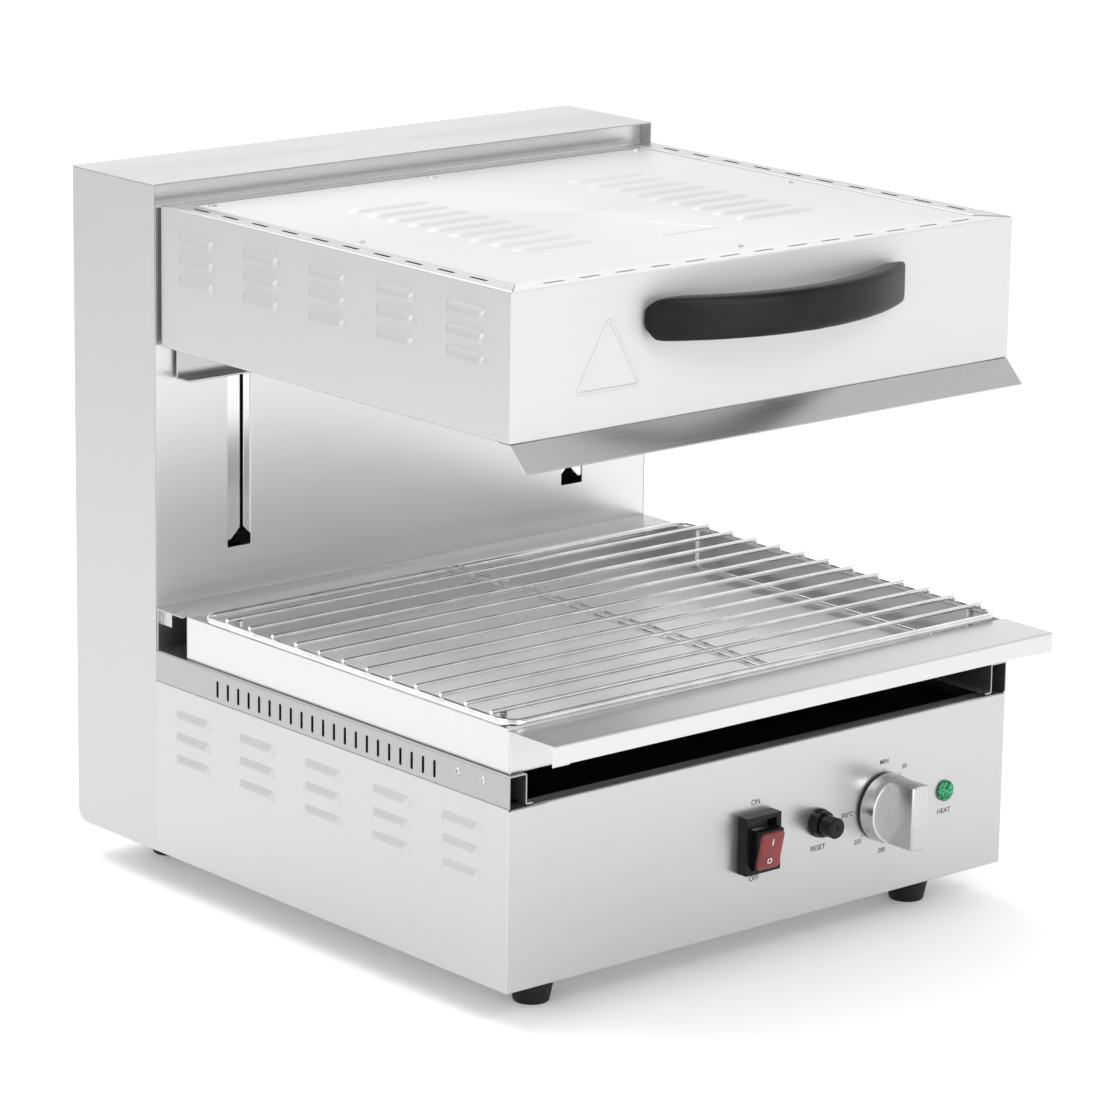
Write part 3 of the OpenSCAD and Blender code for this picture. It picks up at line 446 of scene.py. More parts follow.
def softened(node, mat=None, width=0.35, segments=2, angle=35):
    """A CAD node with its edges rounded a little."""
    obj = cad_copy(node, node + "_finished")
    smooth(obj, angle)
    if width:
        modifier(obj, "BEVEL", width=width * MM, segments=segments, limit_method="ANGLE",
                 angle_limit=math.radians(angle), use_clamp_overlap=True, harden_normals=True)
        apply_all(obj)
    return install(obj, node, mat or SLOT_MAT[SLOT[node]])


def spaced(values, step):
    """Sorted values with more between them, so that none are further apart than step."""
    values = sorted(values)
    out = [values[0]]
    for v in values[1:]:
        if v - out[-1] < 1e-4:
            continue
        count = math.ceil((v - out[-1]) / step)
        base = out[-1]
        out += [base + (v - base) * (i + 1) / count for i in range(count)]
    return out


# a louvre's lines, as parts of its half length and half height, close together where it curves
LOUVRE_U = (1, 0.985, 0.955, 0.91, 0.85, 0.78, 0.6, 0.3, 0)
LOUVRE_D = (1, 0.88, 0.74, 0.58, 0.4, 0.18, -0.1, -0.4, -0.7, -0.88, -1)
MOUTH_GAP = 0.04
# radius along a sheet's cut edges
END_ROUND = 0.8


class Louvre:
    """Pressed hood, half_l by half_h about (u, d), with its mouth on the side that mouth says."""

    def __init__(self, segment, u, d, mouth, half_l=19.0, half_h=4.25, out=2.5, end=4.5):
        self.segment, self.u, self.d, self.mouth = segment, u, d, mouth
        self.half_l, self.half_h, self.out, self.end = half_l, half_h, out, end

    def u_lines(self):
        return [self.u + s * f * self.half_l for f in LOUVRE_U for s in (-1, 1)]

    def d_lines(self):
        lines = [self.d - self.mouth * f * self.half_h for f in LOUVRE_D]
        return lines + [self.d + self.mouth * (self.half_h + MOUTH_GAP)]

    def height(self, u, d):
        x = abs(u - self.u)
        y = (self.d - d) * self.mouth
        if x >= self.half_l or y > self.half_h or y < -self.half_h - 1e-4:
            return 0.0
        ends = math.sin(math.pi / 2 * min(1, (self.half_l - x) / self.end))
        rise = math.sin(math.pi / 2 * min(1, (self.half_h - y) / (1.45 * self.half_h)))
        return self.out * ends * rise

    def cuts(self, u, d):
        y = (self.d - d) * self.mouth
        return -self.half_h - MOUTH_GAP < y < -self.half_h and abs(u - self.u) < self.half_l * 0.97

    def snap(self, u, d):
        return u, d


class Slot:
    """Hole with round ends, l by w about (u, d), long along u, or along d when upright."""

    def __init__(self, segment, u, d, l, w, upright=False):
        self.segment, self.u, self.d, self.upright = segment, u, d, upright
        self.half_l, self.half_w = l / 2, w / 2

    def lines(self, centre, half, end):
        steps = (0, 0.13, 0.5, 1) if end else (0, 0.5, 1)
        out = [centre + s * (half - f * self.half_w) for f in steps for s in (-1, 1)]
        return out + ([centre] if not end else [])

    def u_lines(self):
        return self.lines(self.u, self.half_w if self.upright else self.half_l, not self.upright)

    def d_lines(self):
        return self.lines(self.d, self.half_l if self.upright else self.half_w, self.upright)

    def local(self, u, d):
        x, y = u - self.u, d - self.d
        return (y, x) if self.upright else (x, y)

    def height(self, u, d):
        return 0.0

    def cuts(self, u, d):
        x, y = self.local(u, d)
        return abs(x) < self.half_l and abs(y) < self.half_w

    def snap(self, u, d):
        x, y = self.local(u, d)
        if abs(x) > self.half_l + 1e-4 or abs(y) > self.half_w + 1e-4:
            return u, d
        centre = self.half_l - self.half_w
        if abs(x) > centre:
            offset = Vector((abs(x) - centre, y))
            if offset.length > self.half_w:
                offset *= self.half_w / offset.length
            x = math.copysign(centre + offset.x, x)
            y = offset.y
        return (self.u + y, self.d + x) if self.upright else (self.u + x, self.d + y)


# how many points a bend has between its two flats
BEND_POINTS = 4


def fold_stations(corners, radius, marks, step):
    """Points along a cross-section with round bends: (segment, distance, point, normal on its right)."""
    points = [Vector(c) for c in corners]
    directions = [(b - a).normalized() for a, b in zip(points, points[1:])]
    turns = [0.0]
    for a, b in zip(directions, directions[1:]):
        turns.append(math.atan2(a.x * b.y - a.y * b.x, a.dot(b)))
    turns.append(0.0)
    radii = [radius if t > 0 else max(radius - SHEET, 0.4) for t in turns]
    trims = [r * math.tan(abs(t) / 2) for r, t in zip(radii, turns)]
    out = []
    for k, direction in enumerate(directions):
        start = trims[k]
        end = (points[k + 1] - points[k]).length - trims[k + 1]
        normal = Vector((direction.y, -direction.x))
        wanted = [m for m in marks.get(k, []) if start < m < end]
        if k == 0:
            wanted += [0.1 * END_ROUND, 0.4 * END_ROUND, END_ROUND]
        if k == len(directions) - 1:
            wanted += [end - 0.1 * END_ROUND, end - 0.4 * END_ROUND, end - END_ROUND]
        for d in spaced([start, end] + wanted, step):
            out.append((k, d, points[k] + direction * d, normal))
        if k + 1 < len(directions):
            turn = turns[k + 1]
            side = Vector((-direction.y, direction.x)) * math.copysign(radii[k + 1], turn)
            centre = points[k] + direction * end + side
            for i in range(1, BEND_POINTS + 1):
                spin = Matrix.Rotation(turn * i / (BEND_POINTS + 1), 2)
                out.append((-1, 0, centre + spin @ -side, spin @ normal))
    return out


def rounded_drop(distance):
    """How far the outer face falls this close to a sheet's cut edge."""
    if distance >= END_ROUND:
        return 0.0
    reach = 1 - distance / END_ROUND
    return END_ROUND * (1 - math.sqrt(max(0.0, 1 - reach * reach)))


def folded_sheet(name, corners, u_range, to_world, features=(), radius=1.6, limits=None, cut=None,
                 step=14, round_u=True, round_ends=True):
    """Sheet metal: a folded cross-section run along u, with louvres and slots in its flats.

    Each feature says which flat it is on, its lines along u and d, its height and what it cuts away.
    limits gives the sheet's ends at a place on the cross-section, and cut takes a piece off its edge.
    """
    marks = {}
    for f in features:
        marks.setdefault(f.segment, []).extend(f.d_lines())
    if cut is not None:
        for segment, lines in cut["d"].items():
            marks.setdefault(segment, []).extend(lines)
    stations = fold_stations(corners, radius, marks, step)
    u0, u1 = u_range
    wanted = [u0, u1] + [u for f in features for u in f.u_lines()] + (cut["u"] if cut is not None else [])
    if round_u:
        wanted += [u + s * f * END_ROUND for u, s in ((u0, 1), (u1, -1)) for f in (0.1, 0.4, 1)]
    us = spaced(wanted, step)
    first, last = stations[0][2], stations[-1][2]
    by_segment = {}
    for f in features:
        by_segment.setdefault(f.segment, []).append(f)
    outer, inner = [], []
    for k, d, p, n in stations:
        low, high = limits(k, d, p) if limits else (u0, u1)
        tangent = Vector((-n.y, n.x))
        for u in us:
            uu, dd, h = min(max(u, low), high), d, 0.0
            for f in by_segment.get(k, ()):
                h += f.height(uu, dd)
                uu, dd = f.snap(uu, dd)
            q = p + tangent * (dd - d)
            drop = 0.0
            if round_u:
                drop = max(drop, rounded_drop(min(uu - low, high - uu)))
            if round_ends:
                drop = max(drop, rounded_drop(min((q - first).length, (q - last).length)))
            outer.append(Vector(to_world(uu, *(q + n * (h - drop)))) * MM)
            inner.append(Vector(to_world(uu, *(q + n * (h - SHEET)))) * MM)
    columns = len(us)
    shift = len(outer)
    kept = set()
    for j in range(len(stations) - 1):
        same = stations[j][0] == stations[j + 1][0] and stations[j][0] >= 0
        k = stations[j][0]
        dc = (stations[j][1] + stations[j + 1][1]) / 2
        for i in range(columns - 1):
            uc = (us[i] + us[i + 1]) / 2
            if same and any(f.cuts(uc, dc) for f in by_segment.get(k, ())):
                continue
            if same and cut is not None and cut["test"](k, uc, dc):
                continue
            kept.add((i, j))
    faces = []
    for i, j in kept:
        a, b, c, d = j * columns + i, j * columns + i + 1, (j + 1) * columns + i + 1, (j + 1) * columns + i
        faces.append((a, b, c, d))
        faces.append((d + shift, c + shift, b + shift, a + shift))
        for near, p, q in (((i, j - 1), a, b), ((i + 1, j), b, c), ((i, j + 1), c, d), ((i - 1, j), d, a)):
            if near not in kept:
                faces.append((q, p, p + shift, q + shift))
    obj = new_object(name, outer + inner, faces)

    def tidy(work):
        loose = [v for v in work.verts if not v.link_faces]
        bmesh.ops.delete(work, geom=loose, context="VERTS")

    edit(obj, tidy, merge, outward)
    smooth(obj, 40)
    modifier(obj, "WEIGHTED_NORMAL", keep_sharp=True, weight=80)
    return apply_all(obj)


def ring_faces(rings, n):
    """Faces that join rings of n points one after another, and close both ends."""
    faces = []
    for j in range(rings - 1):
        for i in range(n):
            k = (i + 1) % n
            faces.append((j * n + i, j * n + k, (j + 1) * n + k, (j + 1) * n + i))
    return faces + end_faces(rings, n)


def end_faces(rings, n):
    return [tuple(range(n)), tuple(range((rings - 1) * n, rings * n))]


def lathe(name, profile, centre, axis, steps=48):
    """Solid of revolution: (radius, height) pairs turned about an axis through centre, in mm."""
    axis = Vector(axis).normalized()
    across = axis.orthogonal().normalized()
    other = axis.cross(across)
    verts = []
    for r, h in profile:
        for i in range(steps):
            a = 2 * math.pi * i / steps
            point = Vector(centre) + axis * h + (across * math.cos(a) + other * math.sin(a)) * r
            verts.append(point * MM)
    obj = new_object(name, verts, ring_faces(len(profile), steps))
    return smooth(edit(obj, merge, outward), 32)


def block(name, lo, hi, width=0.3, segments=2):
    lo, hi = Vector(lo) * MM, Vector(hi) * MM
    corners = [(x, y, z) for x in (lo.x, hi.x) for y in (lo.y, hi.y) for z in (lo.z, hi.z)]
    faces = [(0, 1, 3, 2), (4, 6, 7, 5), (0, 4, 5, 1), (2, 3, 7, 6), (0, 2, 6, 4), (1, 5, 7, 3)]
    obj = edit(new_object(name, corners, faces), outward)
    smooth(obj)
    modifier(obj, "BEVEL", width=width * MM, segments=segments, harden_normals=True)
    return apply_all(obj)


def rounded_path(points, radius, count=6):
    """A closed path in the plane with its corners rounded."""
    out = []
    n = len(points)
    for i in range(n):
        a, b, c = (Vector(points[(i + k) % n]) for k in (-1, 0, 1))
        into, away = (b - a).normalized(), (c - b).normalized()
        turn = into.angle_signed(away)
        trim = radius * math.tan(abs(turn) / 2)
        p, q = b - into * trim, b + away * trim
        for k in range(count + 1):
            t = k / count
            out.append((1 - t) ** 2 * p + 2 * t * (1 - t) * b + t * t * q)
    return out


def rib(name, path, width, height, to_world):
    """A raised closed rib with a round top, along a path in a plane."""
    section = [(math.cos(a) * width / 2, math.sin(a) * height) for a in [math.pi * i / 8 for i in range(9)]]
    verts, faces = [], []
    n = len(path)
    for i, p in enumerate(path):
        along = (path[(i + 1) % n] - path[i - 1]).normalized()
        across = Vector((along.y, -along.x))
        for x, h in section + [(-width / 2, -0.3), (width / 2, -0.3)]:
            q = p + across * x
            verts.append(Vector(to_world(q.x, q.y, h)) * MM)
    m = len(section) + 2
    for i in range(n):
        for k in range(m):
            a, b = i * m, ((i + 1) % n) * m
            faces.append((a + k, a + (k + 1) % m, b + (k + 1) % m, b + k))
    return smooth(edit(new_object(name, verts, faces), merge, outward), 50)


def lettering(name, rows, y, thickness=0.06, weight=0.009):
    """Generic words and numbers on a plane facing the front: (text, x, z, size)."""
    pieces = []
    for text, x, z, size in rows:
        curve = bpy.data.curves.new(name, "FONT")
        curve.body = text
        curve.size = size * MM
        curve.align_x = "CENTER"
        curve.align_y = "CENTER"
        curve.extrude = thickness * MM / 2
        curve.offset = weight * size * MM
        obj = linked(name, curve)
        mesh = evaluated_mesh(obj)
        bpy.data.objects.remove(obj)
        mesh.transform(Matrix.Translation(Vector((x, y, z)) * MM) @ Matrix.Rotation(math.pi / 2, 4, "X"))
        pieces.append(linked(name, mesh))
    return join(name, pieces)


# ---- camera, light and floor ----

def look(name, place, yaw, pitch, roll, lens):
    forward = Vector((math.sin(yaw) * math.cos(pitch), math.cos(yaw) * math.cos(pitch), math.sin(pitch)))
    right = Vector((math.cos(yaw), -math.sin(yaw), 0))
    up = right.cross(forward)
    across = right * math.cos(roll) + up * math.sin(roll)
    above = up * math.cos(roll) - right * math.sin(roll)
    data = bpy.data.cameras.new(name)
    data.lens = lens
    data.sensor_width = 36
    data.sensor_fit = "HORIZONTAL"
    data.clip_end = 100
    obj = linked(name, data)
    turn = Matrix((across, above, -forward)).transposed().to_4x4()
    obj.matrix_world = Matrix.Translation(Vector(place)) @ turn
    bpy.context.scene.camera = obj


def area_light(name, place, target, size, power):
    data = bpy.data.lights.new(name, "AREA")
    data.shape = "RECTANGLE"
    data.size, data.size_y = size
    data.energy = power
    obj = linked(name, data)
    aim = Vector(target) - Vector(place)
    turn = aim.to_track_quat("-Z", "Y").to_matrix().to_4x4()
    obj.matrix_world = Matrix.Translation(Vector(place)) @ turn


def studio():
    """A pale world, a little darker high up in front, with soft lights and a white floor."""
    world = bpy.data.worlds.new("studio")
    bpy.context.scene.world = world
    world.use_nodes = True
    tree = world.node_tree
    tree.nodes.clear()
    out = tree.nodes.new("ShaderNodeOutputWorld")
    back = tree.nodes.new("ShaderNodeBackground")
    coords = tree.nodes.new("ShaderNodeTexCoord")
    split = tree.nodes.new("ShaderNodeSeparateXYZ")
    tree.links.new(coords.outputs["Generated"], split.inputs[0])
    high = spread(tree, split.outputs["Z"], 0, 1, 0.12, 0.7)
    ahead = spread(tree, split.outputs["Y"], 1, 0, -0.6, 0.2)
    shade = math_node(tree, "MULTIPLY", math_node(tree, "MULTIPLY", high, ahead), 0.55)
    value = math_node(tree, "SUBTRACT", 1.0, shade)
    tree.links.new(value, back.inputs["Color"])
    back.inputs["Strength"].default_value = 1.15
    tree.links.new(back.outputs[0], out.inputs["Surface"])

    area_light("back_softbox", (-0.4, 1.0, 2.4), (0, 0, 0.3), (2.4, 1.4), 32)
    area_light("front_softbox", (0.3, -3.0, 0.6), (0, 0, 0.22), (1.6, 0.7), 12)
    area_light("key_softbox", (-0.2, -2.4, 2.1), (0, 0, 0.25), (1.0, 0.8), 16)
    area_light("left_softbox", (-2.6, -0.6, 1.2), (0, 0, 0.3), (1.6, 1.6), 7)

    mat, floor_tree, shader = blank("pale_floor")
    patches = two_tone(floor_tree, noise(floor_tree, 3, 2), (0.90, 0.90, 0.90), (0.92, 0.92, 0.92))
    floor_tree.links.new(patches, shader.inputs["Base Color"])
    shader.inputs["Roughness"].default_value = 0.85
    shader.inputs["Emission Color"].default_value = (1, 1, 1, 1)
    shader.inputs["Emission Strength"].default_value = 0.12
    reach = 30
    corners = [(-reach, -reach, 0), (reach, -reach, 0), (reach, reach, 0), (-reach, reach, 0)]
    floor = new_object("floor", corners, [(0, 1, 2, 3)])
    floor.data.materials.append(mat)


look("photo_camera", (-2.1312, -2.47385, 1.0736), 0.7103, -0.25, 0.0154, 159.06)
studio()
bpy.context.scene.view_settings.view_transform = "Standard"


# ---- base ----

# steps along large plain sheets, between the lines that their features need
WIDE_STEP = 30


def along_x(u, a, b):
    """Cross-sections in (y, z), run along x."""
    return u, a, b


def along_y(sign):
    """Cross-sections in (x, z), run along y, on the right-hand side or its mirror image."""
    return lambda u, a, b: (sign * a, u, b)


def base_panels():
    front = folded_sheet(
        "control_panel", [(front_y + 12, base_top), (front_y, base_top), (front_y, foot_h)],
        (-half_w, half_w), along_x, radius=1.4, step=WIDE_STEP,
        limits=lambda k, d, p: (-half_w, half_w) if k == 1 else (-half_w + 2, half_w - 2))
    foot = block("panel_return", (-half_w + 2, front_y + SHEET, foot_h + SHEET),
                 (half_w - 2, front_y + 12, foot_h + 2 * SHEET))
    install(join("control_panel", [front, foot]), "base_front_panel", MATS["front"])


def base_side(sign):
    node = "base_side_right" if sign > 0 else "base_side_left"
    first, pitch, drop = 47.5, 72.5, 16.0
    top = base_top - 19.5 - foot_h
    louvres = [Louvre(0, front_y + first + i * pitch, top - row * drop, -1)
               for i in range(5) for row in range(3)]
    sheet = folded_sheet(
        node + "_sheet", [(half_w, foot_h), (half_w, base_top)], (front_y + SHEET, column_y),
        along_y(sign), louvres, round_u=False)
    ears = []
    for y in (front_y + 14, column_y - 62):
        xs = sorted((sign * (half_w - SHEET), sign * (half_w - 2 * SHEET)))
        ears.append(block("ear", (xs[0], y, base_top - 20), (xs[1], y + 48, rail_top - 3)))
    return install(join(node + "_sheet", [sheet] + ears), node, MATS["steel_y"])


def vent_rail(sign):
    node = "vent_rail_right" if sign > 0 else "vent_rail_left"
    in_x = half_w - 14 - SHEET
    slots = [Slot(0, front_y + 75 + i * 11.7, 9.6, 12, 2.6, upright=True) for i in range(21)]
    rail = folded_sheet(
        node + "_folded", [(half_w, base_top), (half_w, rail_top), (in_x, rail_top), (in_x, base_top + 2),
                           (in_x - 5, base_top + 2)],
        (front_y, column_y), along_y(sign), slots, radius=1.6, round_u=False, step=20)
    return install(rail, node, MATS["rail"])


# ---- head ----

# length and width of the slots along the head's top flanges
HEAD_TOP_SLOTS = (17, 3)


def triangle(x, base, side):
    """Corners of a plain triangle that stands on its base."""
    return [(x - side / 2, base), (x + side / 2, base), (x, base + side * math.sin(math.pi / 3))]


def head_panels():
    slots = [Slot(0, (i - 6) * 30.0, 10.0, *HEAD_TOP_SLOTS) for i in range(13)]
    front = folded_sheet(
        "head_front_sheet",
        [(head_y + 19, head_top), (head_y, head_top), (head_y, head_z), (head_y + 12, head_z)],
        (-head_half, head_half), along_x, slots, radius=1.4, step=WIDE_STEP,
        limits=lambda k, d, p: (-head_half + max(0, p.x - head_y), head_half - max(0, p.x - head_y)))
    corners = triangle(-head_half + 81, head_z + 25.5, 53.0)
    outline = rib("triangle_rib", rounded_path(corners, 1.6), 2.4, 0.9, lambda u, v, h: (u, head_y - h, v))
    install(join("head_front_sheet", [front, outline]), "head_front", MATS["head_front"])
    for sign in (LEFT, RIGHT):
        head_side(sign)
    head_cover()


def head_side(sign):
    node = "head_side_right" if sign > 0 else "head_side_left"
    flange = 19
    louvres = [Louvre(1, head_y + 44.5 + i * 71.0, head_top - 18.5 - head_z - row * 14.7, -1)
               for i in range(5) for row in range(3)]
    slots = [Slot(2, head_y + 44.4 + i * 32.4, 10.0, *HEAD_TOP_SLOTS) for i in range(10)]

    def limits(k, d, p):
        depth = head_half - p.x
        return head_y + max(SHEET, depth + 0.3), head_back

    sheet = folded_sheet(
        node + "_sheet", [(head_half - 12, head_z), (head_half, head_z), (head_half, head_top),
                          (head_half - flange, head_top)],
        (head_y + SHEET, head_back), along_y(sign), louvres + slots, radius=1.4, limits=limits,
        round_u=False)
    return install(sheet, node, MATS["steel_y"])


def head_cover():
    mid_y = (head_y + head_back) / 2 + 5
    louvres = [Louvre(0, sign * 98.0, mid_y + (i - 4) * 21.5 - cover_lo.y, 1, half_l=35.0, out=2.0, end=11.0)
               for sign in (LEFT, RIGHT) for i in range(9)]
    top = cover_lo.z + SHEET
    sheet = folded_sheet(
        "head_cover_sheet", [(cover_lo.y, top), (cover_hi.y, top)], (cover_lo.x, cover_hi.x),
        lambda u, a, b: (u, a, 2 * top - b), louvres, round_u=False, round_ends=False)
    corners = triangle(8, head_y + 90.5, 51.0)
    outline = rib("cover_triangle", rounded_path(corners, 1.6), 2.2, 0.4, lambda u, v, h: (u, v, top + h))
    return install(join("head_cover_sheet", [sheet, outline]), "head_cover", MATS["cover"])


def handle():
    """The bow handle, with its edges melted round."""
    piece = cad_copy("handle", "bow_handle")
    modifier(piece, "REMESH", mode="VOXEL", voxel_size=1.1 * MM)
    modifier(piece, "SMOOTH", factor=0.5, iterations=60)
    apply_all(piece)
    piece.data.shade_smooth()
    return install(piece, "handle", MATS["handle"])


# ---- tray ----

def tray():
    half = 222.0
    front = lip_y + 45.0
    flange = 14.0
    pan = folded_sheet(
        "tray_pan", [(front, rim_z), (front, tray_z), (tray_back, tray_z), (tray_back, rim_z)],
        (-half, half), along_x, radius=2.0, step=WIDE_STEP, round_ends=False)
    pan.data.materials.append(MATS["tray_floor"])
    pan.data.materials.append(MATS["tray_wall"])
    # Painted light: faces looking up get the near-white floor copy of the tray steel, brighter than the
    # walls to stand in for reflected light.
    for polygon in pan.data.polygons:
        polygon.material_index = 0 if abs(polygon.normal.z) > 0.7 else 1
    notch_d, notch_u = flange - 1.0, half_w - 14
    lip = folded_sheet(
        "tray_lip", [(front + SHEET, rim_z), (lip_y, rim_z), (lip_y, rim_z - flange)],
        (-half_w, half_w), along_x, radius=1.6, step=WIDE_STEP,
        cut={"d": {1: [notch_d]}, "u": [-notch_u, notch_u],
             "test": lambda k, u, d: k == 1 and d > notch_d and abs(u) < notch_u})
    walls = [block("tray_wall", (s * half - (0 if s < 0 else SHEET), front + 0.2, tray_z),
                   (s * half + (SHEET if s < 0 else 0), tray_back - 0.2, rim_z), 0.4) for s in (LEFT, RIGHT)]
    for piece in [lip] + walls:
        piece.data.materials.append(MATS["tray_wall"])
    return install(join("tray_folded", [pan, lip] + walls), "drip_tray")


def welds():
    """Small weld beads where the cross rods meet the rods under them."""
    centre_z = middle(rods_lo.z, rods_hi.z)
    rod_r = (rods_hi.z - rods_lo.z) / 2
    count, centre_rod = 12, 5
    first, last = rods_lo.y + rod_r, rods_hi.y - rod_r
    half = rack_hi.x - (rack_hi.z - rack_lo.z) / 2
    beads = []
    for i in range(count):
        y = first + (last - first) * i / (count - 1)
        for x in (-half, -centre_rod, centre_rod, half):
            beads.append(lathe("bead", [(0.01, -0.6), (0.8, -0.45), (1.15, 0), (0.8, 0.45), (0.01, 0.6)],
                               (x, y, centre_z - rod_r), (0, 0, 1), 12))
    return beads


def rack():
    softened("rack_frame", width=0)
    rods = cad_copy("rack_rods", "rack_rods_finished")
    smooth(rods)
    modifier(rods, "BEVEL", width=0.7 * MM, segments=3, limit_method="ANGLE", angle_limit=math.radians(50),
             harden_normals=True)
    apply_all(rods)
    install(join("rack_rods_finished", [rods] + welds()), "rack_rods", MATS["chrome_wire"])
    softened("rack_legs", width=0)


# ---- controls ----

def stacked(name, outline, rings):
    """Solid facing the front, from closed outlines in (x, z): each ring is (inset, y)."""
    verts = []
    for inset, y in rings:
        path = outline(inset)
        verts += [Vector((q[0], y, q[1])) * MM for q in path]
    return smooth(edit(new_object(name, verts, ring_faces(len(rings), len(path))), outward), 50)


def knob():
    """Turned disc with a milled bar across it."""
    gap, skirt, half = 2.0, 12.0, 7.5
    face = knob_r - 0.8
    depth = front_y - knob_lo.y
    rings = [face - 0.9 - i * (face - 0.9) / 12 for i in range(12)]
    profile = [(0.01, gap), (knob_r - 0.6, gap), (knob_r, gap + 0.6), (knob_r - 0.2, gap + skirt / 2),
               (face, gap + skirt - 0.9), (face - 0.25, gap + skirt - 0.25)]
    profile += [(r, gap + skirt) for r in rings] + [(0.01, gap + skirt)]
    disc = lathe("knob_disc", profile, (knob_x, front_y, control_z), TO_FRONT, 96)
    disc.data.materials.append(MATS["knob_metal"])

    def outline(inset):
        r = face - 0.1 - inset
        reach = math.asin((half - inset) / r)
        arc = [reach * (i / 6 - 1) for i in range(13)]
        return ([(knob_x + r * math.sin(t), control_z + r * math.cos(t)) for t in arc]
                + [(knob_x - r * math.sin(t), control_z - r * math.cos(t)) for t in arc])

    top = front_y - depth
    bar = stacked("knob_bar", outline, [(0, front_y - gap - skirt + 1), (0, top + 1.6), (0.15, top + 0.8),
                                        (0.6, top + 0.2), (1.4, top)])
    bar.data.materials.append(MATS["knob_bar"])
    install(join("knob_body", [disc, bar]), "control_knob")


def reset():
    y = collar_back
    centre = (reset_x, y, control_z)
    collar = lathe("reset_nut", [(7.5, 0), (10.0, 0), (10.0, 2.2), (9.5, 2.7), (9.2, 2.7), (9.2, 6.2),
                                 (8.6, 7.0), (7.5, 7.0)], centre, TO_FRONT)
    install(collar, "reset_collar", MATS["gloss_black"])
    depth = y - button_lo.y
    cap = lathe("reset_cap", [(0.01, depth - 1.4), (1.1, depth - 1.2), (1.5, depth - 0.4), (5.6, depth),
                              (6.6, depth - 0.25), (7.2, depth - 1.0), (7.25, depth - 2), (7.25, -1),
                              (0.01, -1)], centre, TO_FRONT)
    install(cap, "reset_button", MATS["gloss_black"])


def lamp():
    """Lens with a plain rim and a domed, faceted face."""
    y = front_y
    rim = [(lamp_r - 0.1, 0), (lamp_r, 0.5), (lamp_r, 1.6), (lamp_r - 0.5, 2.1)]
    verts, faces = [], []
    rings = rim + [(lamp_r * 0.72, 3.0), (lamp_r * 0.42, 3.6), (lamp_r * 0.14, 3.85)]
    steps, last = 14, len(rim) - 1
    for j, (r, h) in enumerate(rings):
        for i in range(steps):
            a = 2 * math.pi * (i + 0.5 * (j % 2) * (j > last)) / steps
            verts.append(Vector((lamp_x + r * math.cos(a), y - h, control_z + r * math.sin(a))) * MM)
    for j in range(len(rings) - 1):
        for i in range(steps):
            a, b = j * steps + i, j * steps + (i + 1) % steps
            if j < last:
                faces.append((a, b, b + steps, a + steps))
            elif (j - last) % 2 == 0:
                faces += [(a, b, a + steps), (b, b + steps, a + steps)]
            else:
                faces += [(a, b, b + steps), (a, b + steps, a + steps)]
    faces += end_faces(len(rings), steps)
    lens = edit(new_object("lamp_facets", verts, faces), outward)
    install(lens, "lamp_lens", MATS["green_lens"])


def pad(name, width, height, corner, back, front):
    """Flat pad with round corners and a crowned edge, facing the front."""
    w, h = width / 2, height / 2

    def outline(inset):
        x, z = w - inset, h - inset
        return rounded_path([(-x, -z), (x, -z), (x, z), (-x, z)], max(corner - inset, 0.3))

    return stacked(name, outline, [(0, back), (0, front + 0.7), (0.2, front + 0.25), (0.8, front),
                                   (corner * 0.9, front - 0.12)])


def switch():
    """Housing and rocker, with a red face and its marks lying along the tilted rocker."""
    softened("switch_housing", MATS["gloss_black"], 0.7, 3)
    softened("switch_rocker", MATS["gloss_black"], 1.3, 4)
    place = (Matrix.Translation(Vector((switch_x, front_y - 2, switch_z)) * MM)
             @ Matrix.Rotation(math.radians(12), 4, "X"))
    face = pad("rocker_face", 20.2, 27.0, 3.2, -12.2, -14.8)
    face.data.transform(place)
    install(face, "switch_rocker", MATS["red_plastic"], ())
    marks = lettering("rocker_marks", [("I", 0, 6.4, 7.0), ("O", 0, -7.4, 5.6)], -14.97, 0.16, 0.0)
    marks.data.transform(place)
    install(marks, "switch_rocker", MATS["white_ink"], ())


def labels():
    """Generic words by the controls, and numbers and ticks round the dial (text, degrees from the top)."""
    word, number, print_y = 5.2, 4.6, front_y - 0.03
    dial = [("MIN", 0)] + [(str(50 * (i + 1)), 38 + 47.4 * i) for i in range(5)] + [("300\u00b0C", 270)]
    rows = [("ON", switch_x, switch_z + 27, word), ("OFF", switch_x, switch_z - 26.2, word),
            ("RESET", reset_x, control_z - 18.0, word), ("HEAT", lamp_x, control_z - 14.6, word)]
    for text, angle in dial:
        a = math.radians(angle)
        r = 31.5 + 2.2 * (angle > 260)
        rows.append((text, knob_x + r * math.sin(a), control_z + r * math.cos(a), number))
    words = lettering("panel_marks", rows, print_y)
    ticks = []
    for _, angle in dial:
        tick = block("tick", (-0.25, -0.03, 25.2), (0.25, 0.03, 26.8), 0.01, 1)
        tick.data.transform(Matrix.Translation(Vector((knob_x, print_y, control_z)) * MM)
                            @ Matrix.Rotation(math.radians(angle), 4, "Y"))
        ticks.append(tick)
    install(join("panel_marks", [words] + ticks), "base_front_panel", MATS["ink"], ())


# ---- fasteners ----

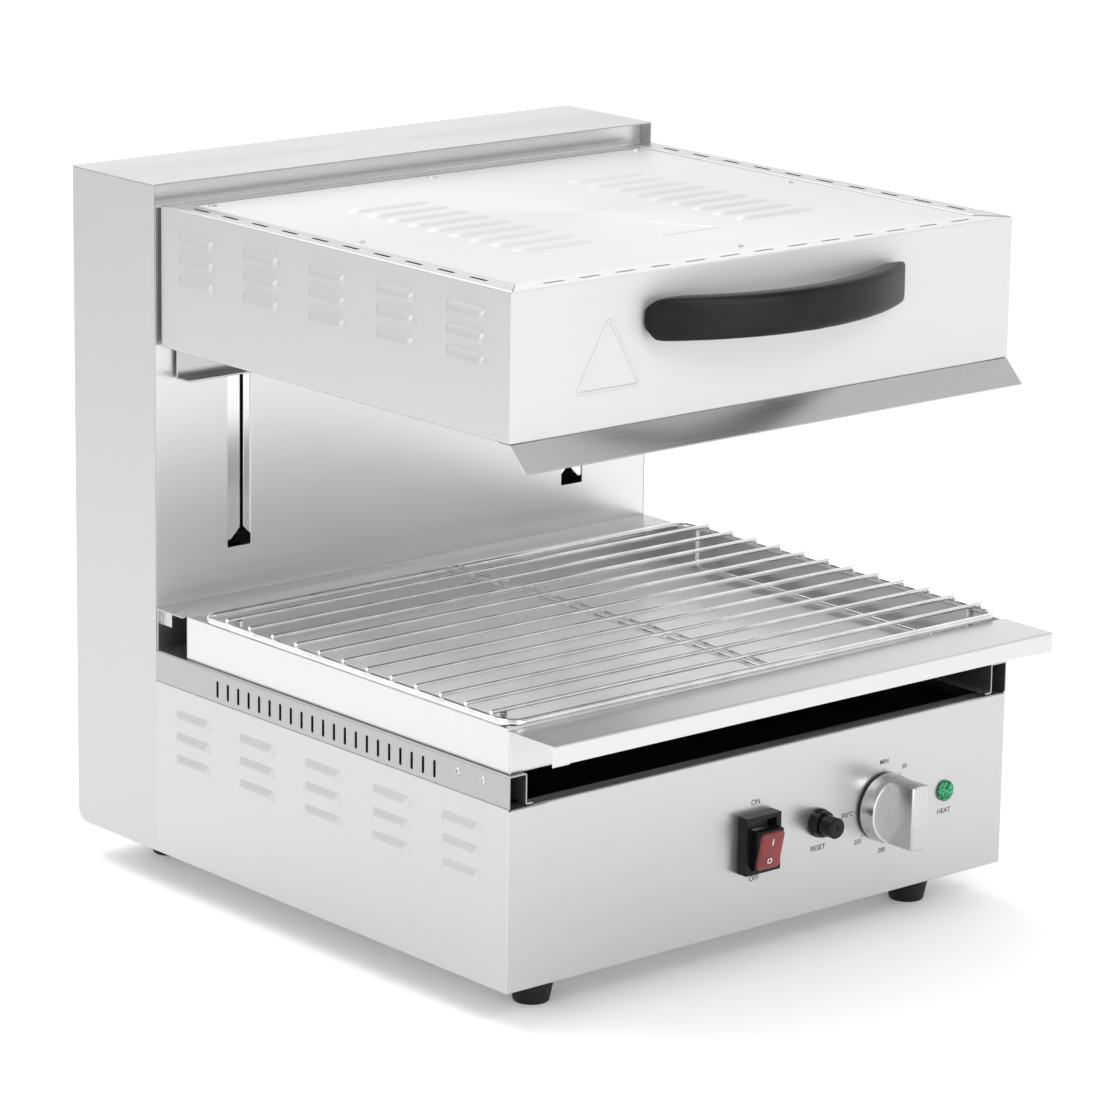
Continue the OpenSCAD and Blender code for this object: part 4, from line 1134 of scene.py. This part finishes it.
def cross_head(name, centre, axis, r, h):
    """Pan head with a cross recess."""
    profile = [(0.01, 0), (r, 0), (r, h * 0.25), (r * 0.86, h * 0.75), (r * 0.5, h), (0.01, h * 1.02)]
    head = lathe(name, profile, centre, axis, 32)
    cutters = []
    turn = Vector((0, 0, 1)).rotation_difference(Vector(axis)).to_matrix().to_4x4()
    for size in ((r * 0.62, r * 0.13), (r * 0.13, r * 0.62)):
        cutter = block("cutter", (-size[0], -size[1], h * 0.35), (size[0], size[1], h * 2), 0.01, 1)
        cutter.data.transform(Matrix.Translation(Vector(centre) * MM) @ turn)
        cutters.append(cutter)
    for cutter in cutters:
        modifier(head, "BOOLEAN", operation="DIFFERENCE", object=cutter, solver="EXACT")
    apply_all(head)
    for cutter in cutters:
        bpy.data.objects.remove(cutter)
    return smooth(head, 30)


def solids_of(node):
    """Middle and highest corner of each separate solid of a CAD node, in mm."""
    work = bmesh.new()
    work.from_mesh(NODES[node].data)
    merge(work)
    todo, out = set(work.verts), []
    while todo:
        stack, island = [todo.pop()], []
        while stack:
            v = stack.pop()
            island.append(v.co.copy())
            for e in v.link_edges:
                w = e.other_vert(v)
                if w in todo:
                    todo.discard(w)
                    stack.append(w)
        lo = Vector([min(c[i] for c in island) for i in range(3)]) / MM
        hi = Vector([max(c[i] for c in island) for i in range(3)]) / MM
        out.append(((lo + hi) / 2, hi))
    work.free()
    return sorted(out, key=lambda row: (round(row[0].z), round(row[0].y), round(row[0].x)))


def fasteners():
    heads = [cross_head("screw", (c.x, c.y, hi.z - 1.4), (0, 0, 1), 3.2, 1.3)
             for c, hi in solids_of("cover_screws")]
    install(join("cover_screw_heads", heads), "cover_screws", MATS["zinc_steel"])
    heads = [cross_head("screw", (c.x, hi.y - 1.8, c.z), (0, 1, 0), 3.4, 1.7)
             for c, hi in solids_of("back_screws")]
    install(join("back_screw_heads", heads), "back_screws", MATS["zinc_steel"])
    rivets = []
    profile = [(0.01, 0.35), (0.75, 0.35), (0.85, 0.95), (1.3, 1.15), (2.0, 0.95), (2.6, 0.35), (2.7, 0),
               (0.01, 0)]
    for c, _ in solids_of("rail_rivets"):
        side = RIGHT if c.x > 0 else LEFT
        rivets.append(lathe("rivet", profile, (side * half_w, c.y, c.z), (side, 0, 0), 32))
    install(join("rivet_heads", rivets), "rail_rivets", MATS["zinc_steel"])


# ---- everything ----

base_panels()
for sign in (LEFT, RIGHT):
    base_side(sign)
    vent_rail(sign)
head_panels()
handle()
tray()
rack()
knob()
reset()
lamp()
switch()
labels()
fasteners()

for node in ("column_front_plate", "column_header"):
    softened(node, MATS["column"])
softened("slot_strips", MATS["strip"])
# painted shade: the inner deck is coloured black for the shade under the tray
softened("inner_deck", MATS["deck"])
for node in ("column_side_left", "column_side_right"):
    softened(node, MATS["steel_z"], 0.45)
softened("deflector", MATS["deflector"])
softened("column_top_cap", MATS["steel_x"], 0.45)
softened("feet", MATS["rubber"], 1.0, 3)
DONE = {name for obj in bpy.data.objects for name in obj.get("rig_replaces", [])}
for node in NODES:
    if node not in DONE:
        softened(node)
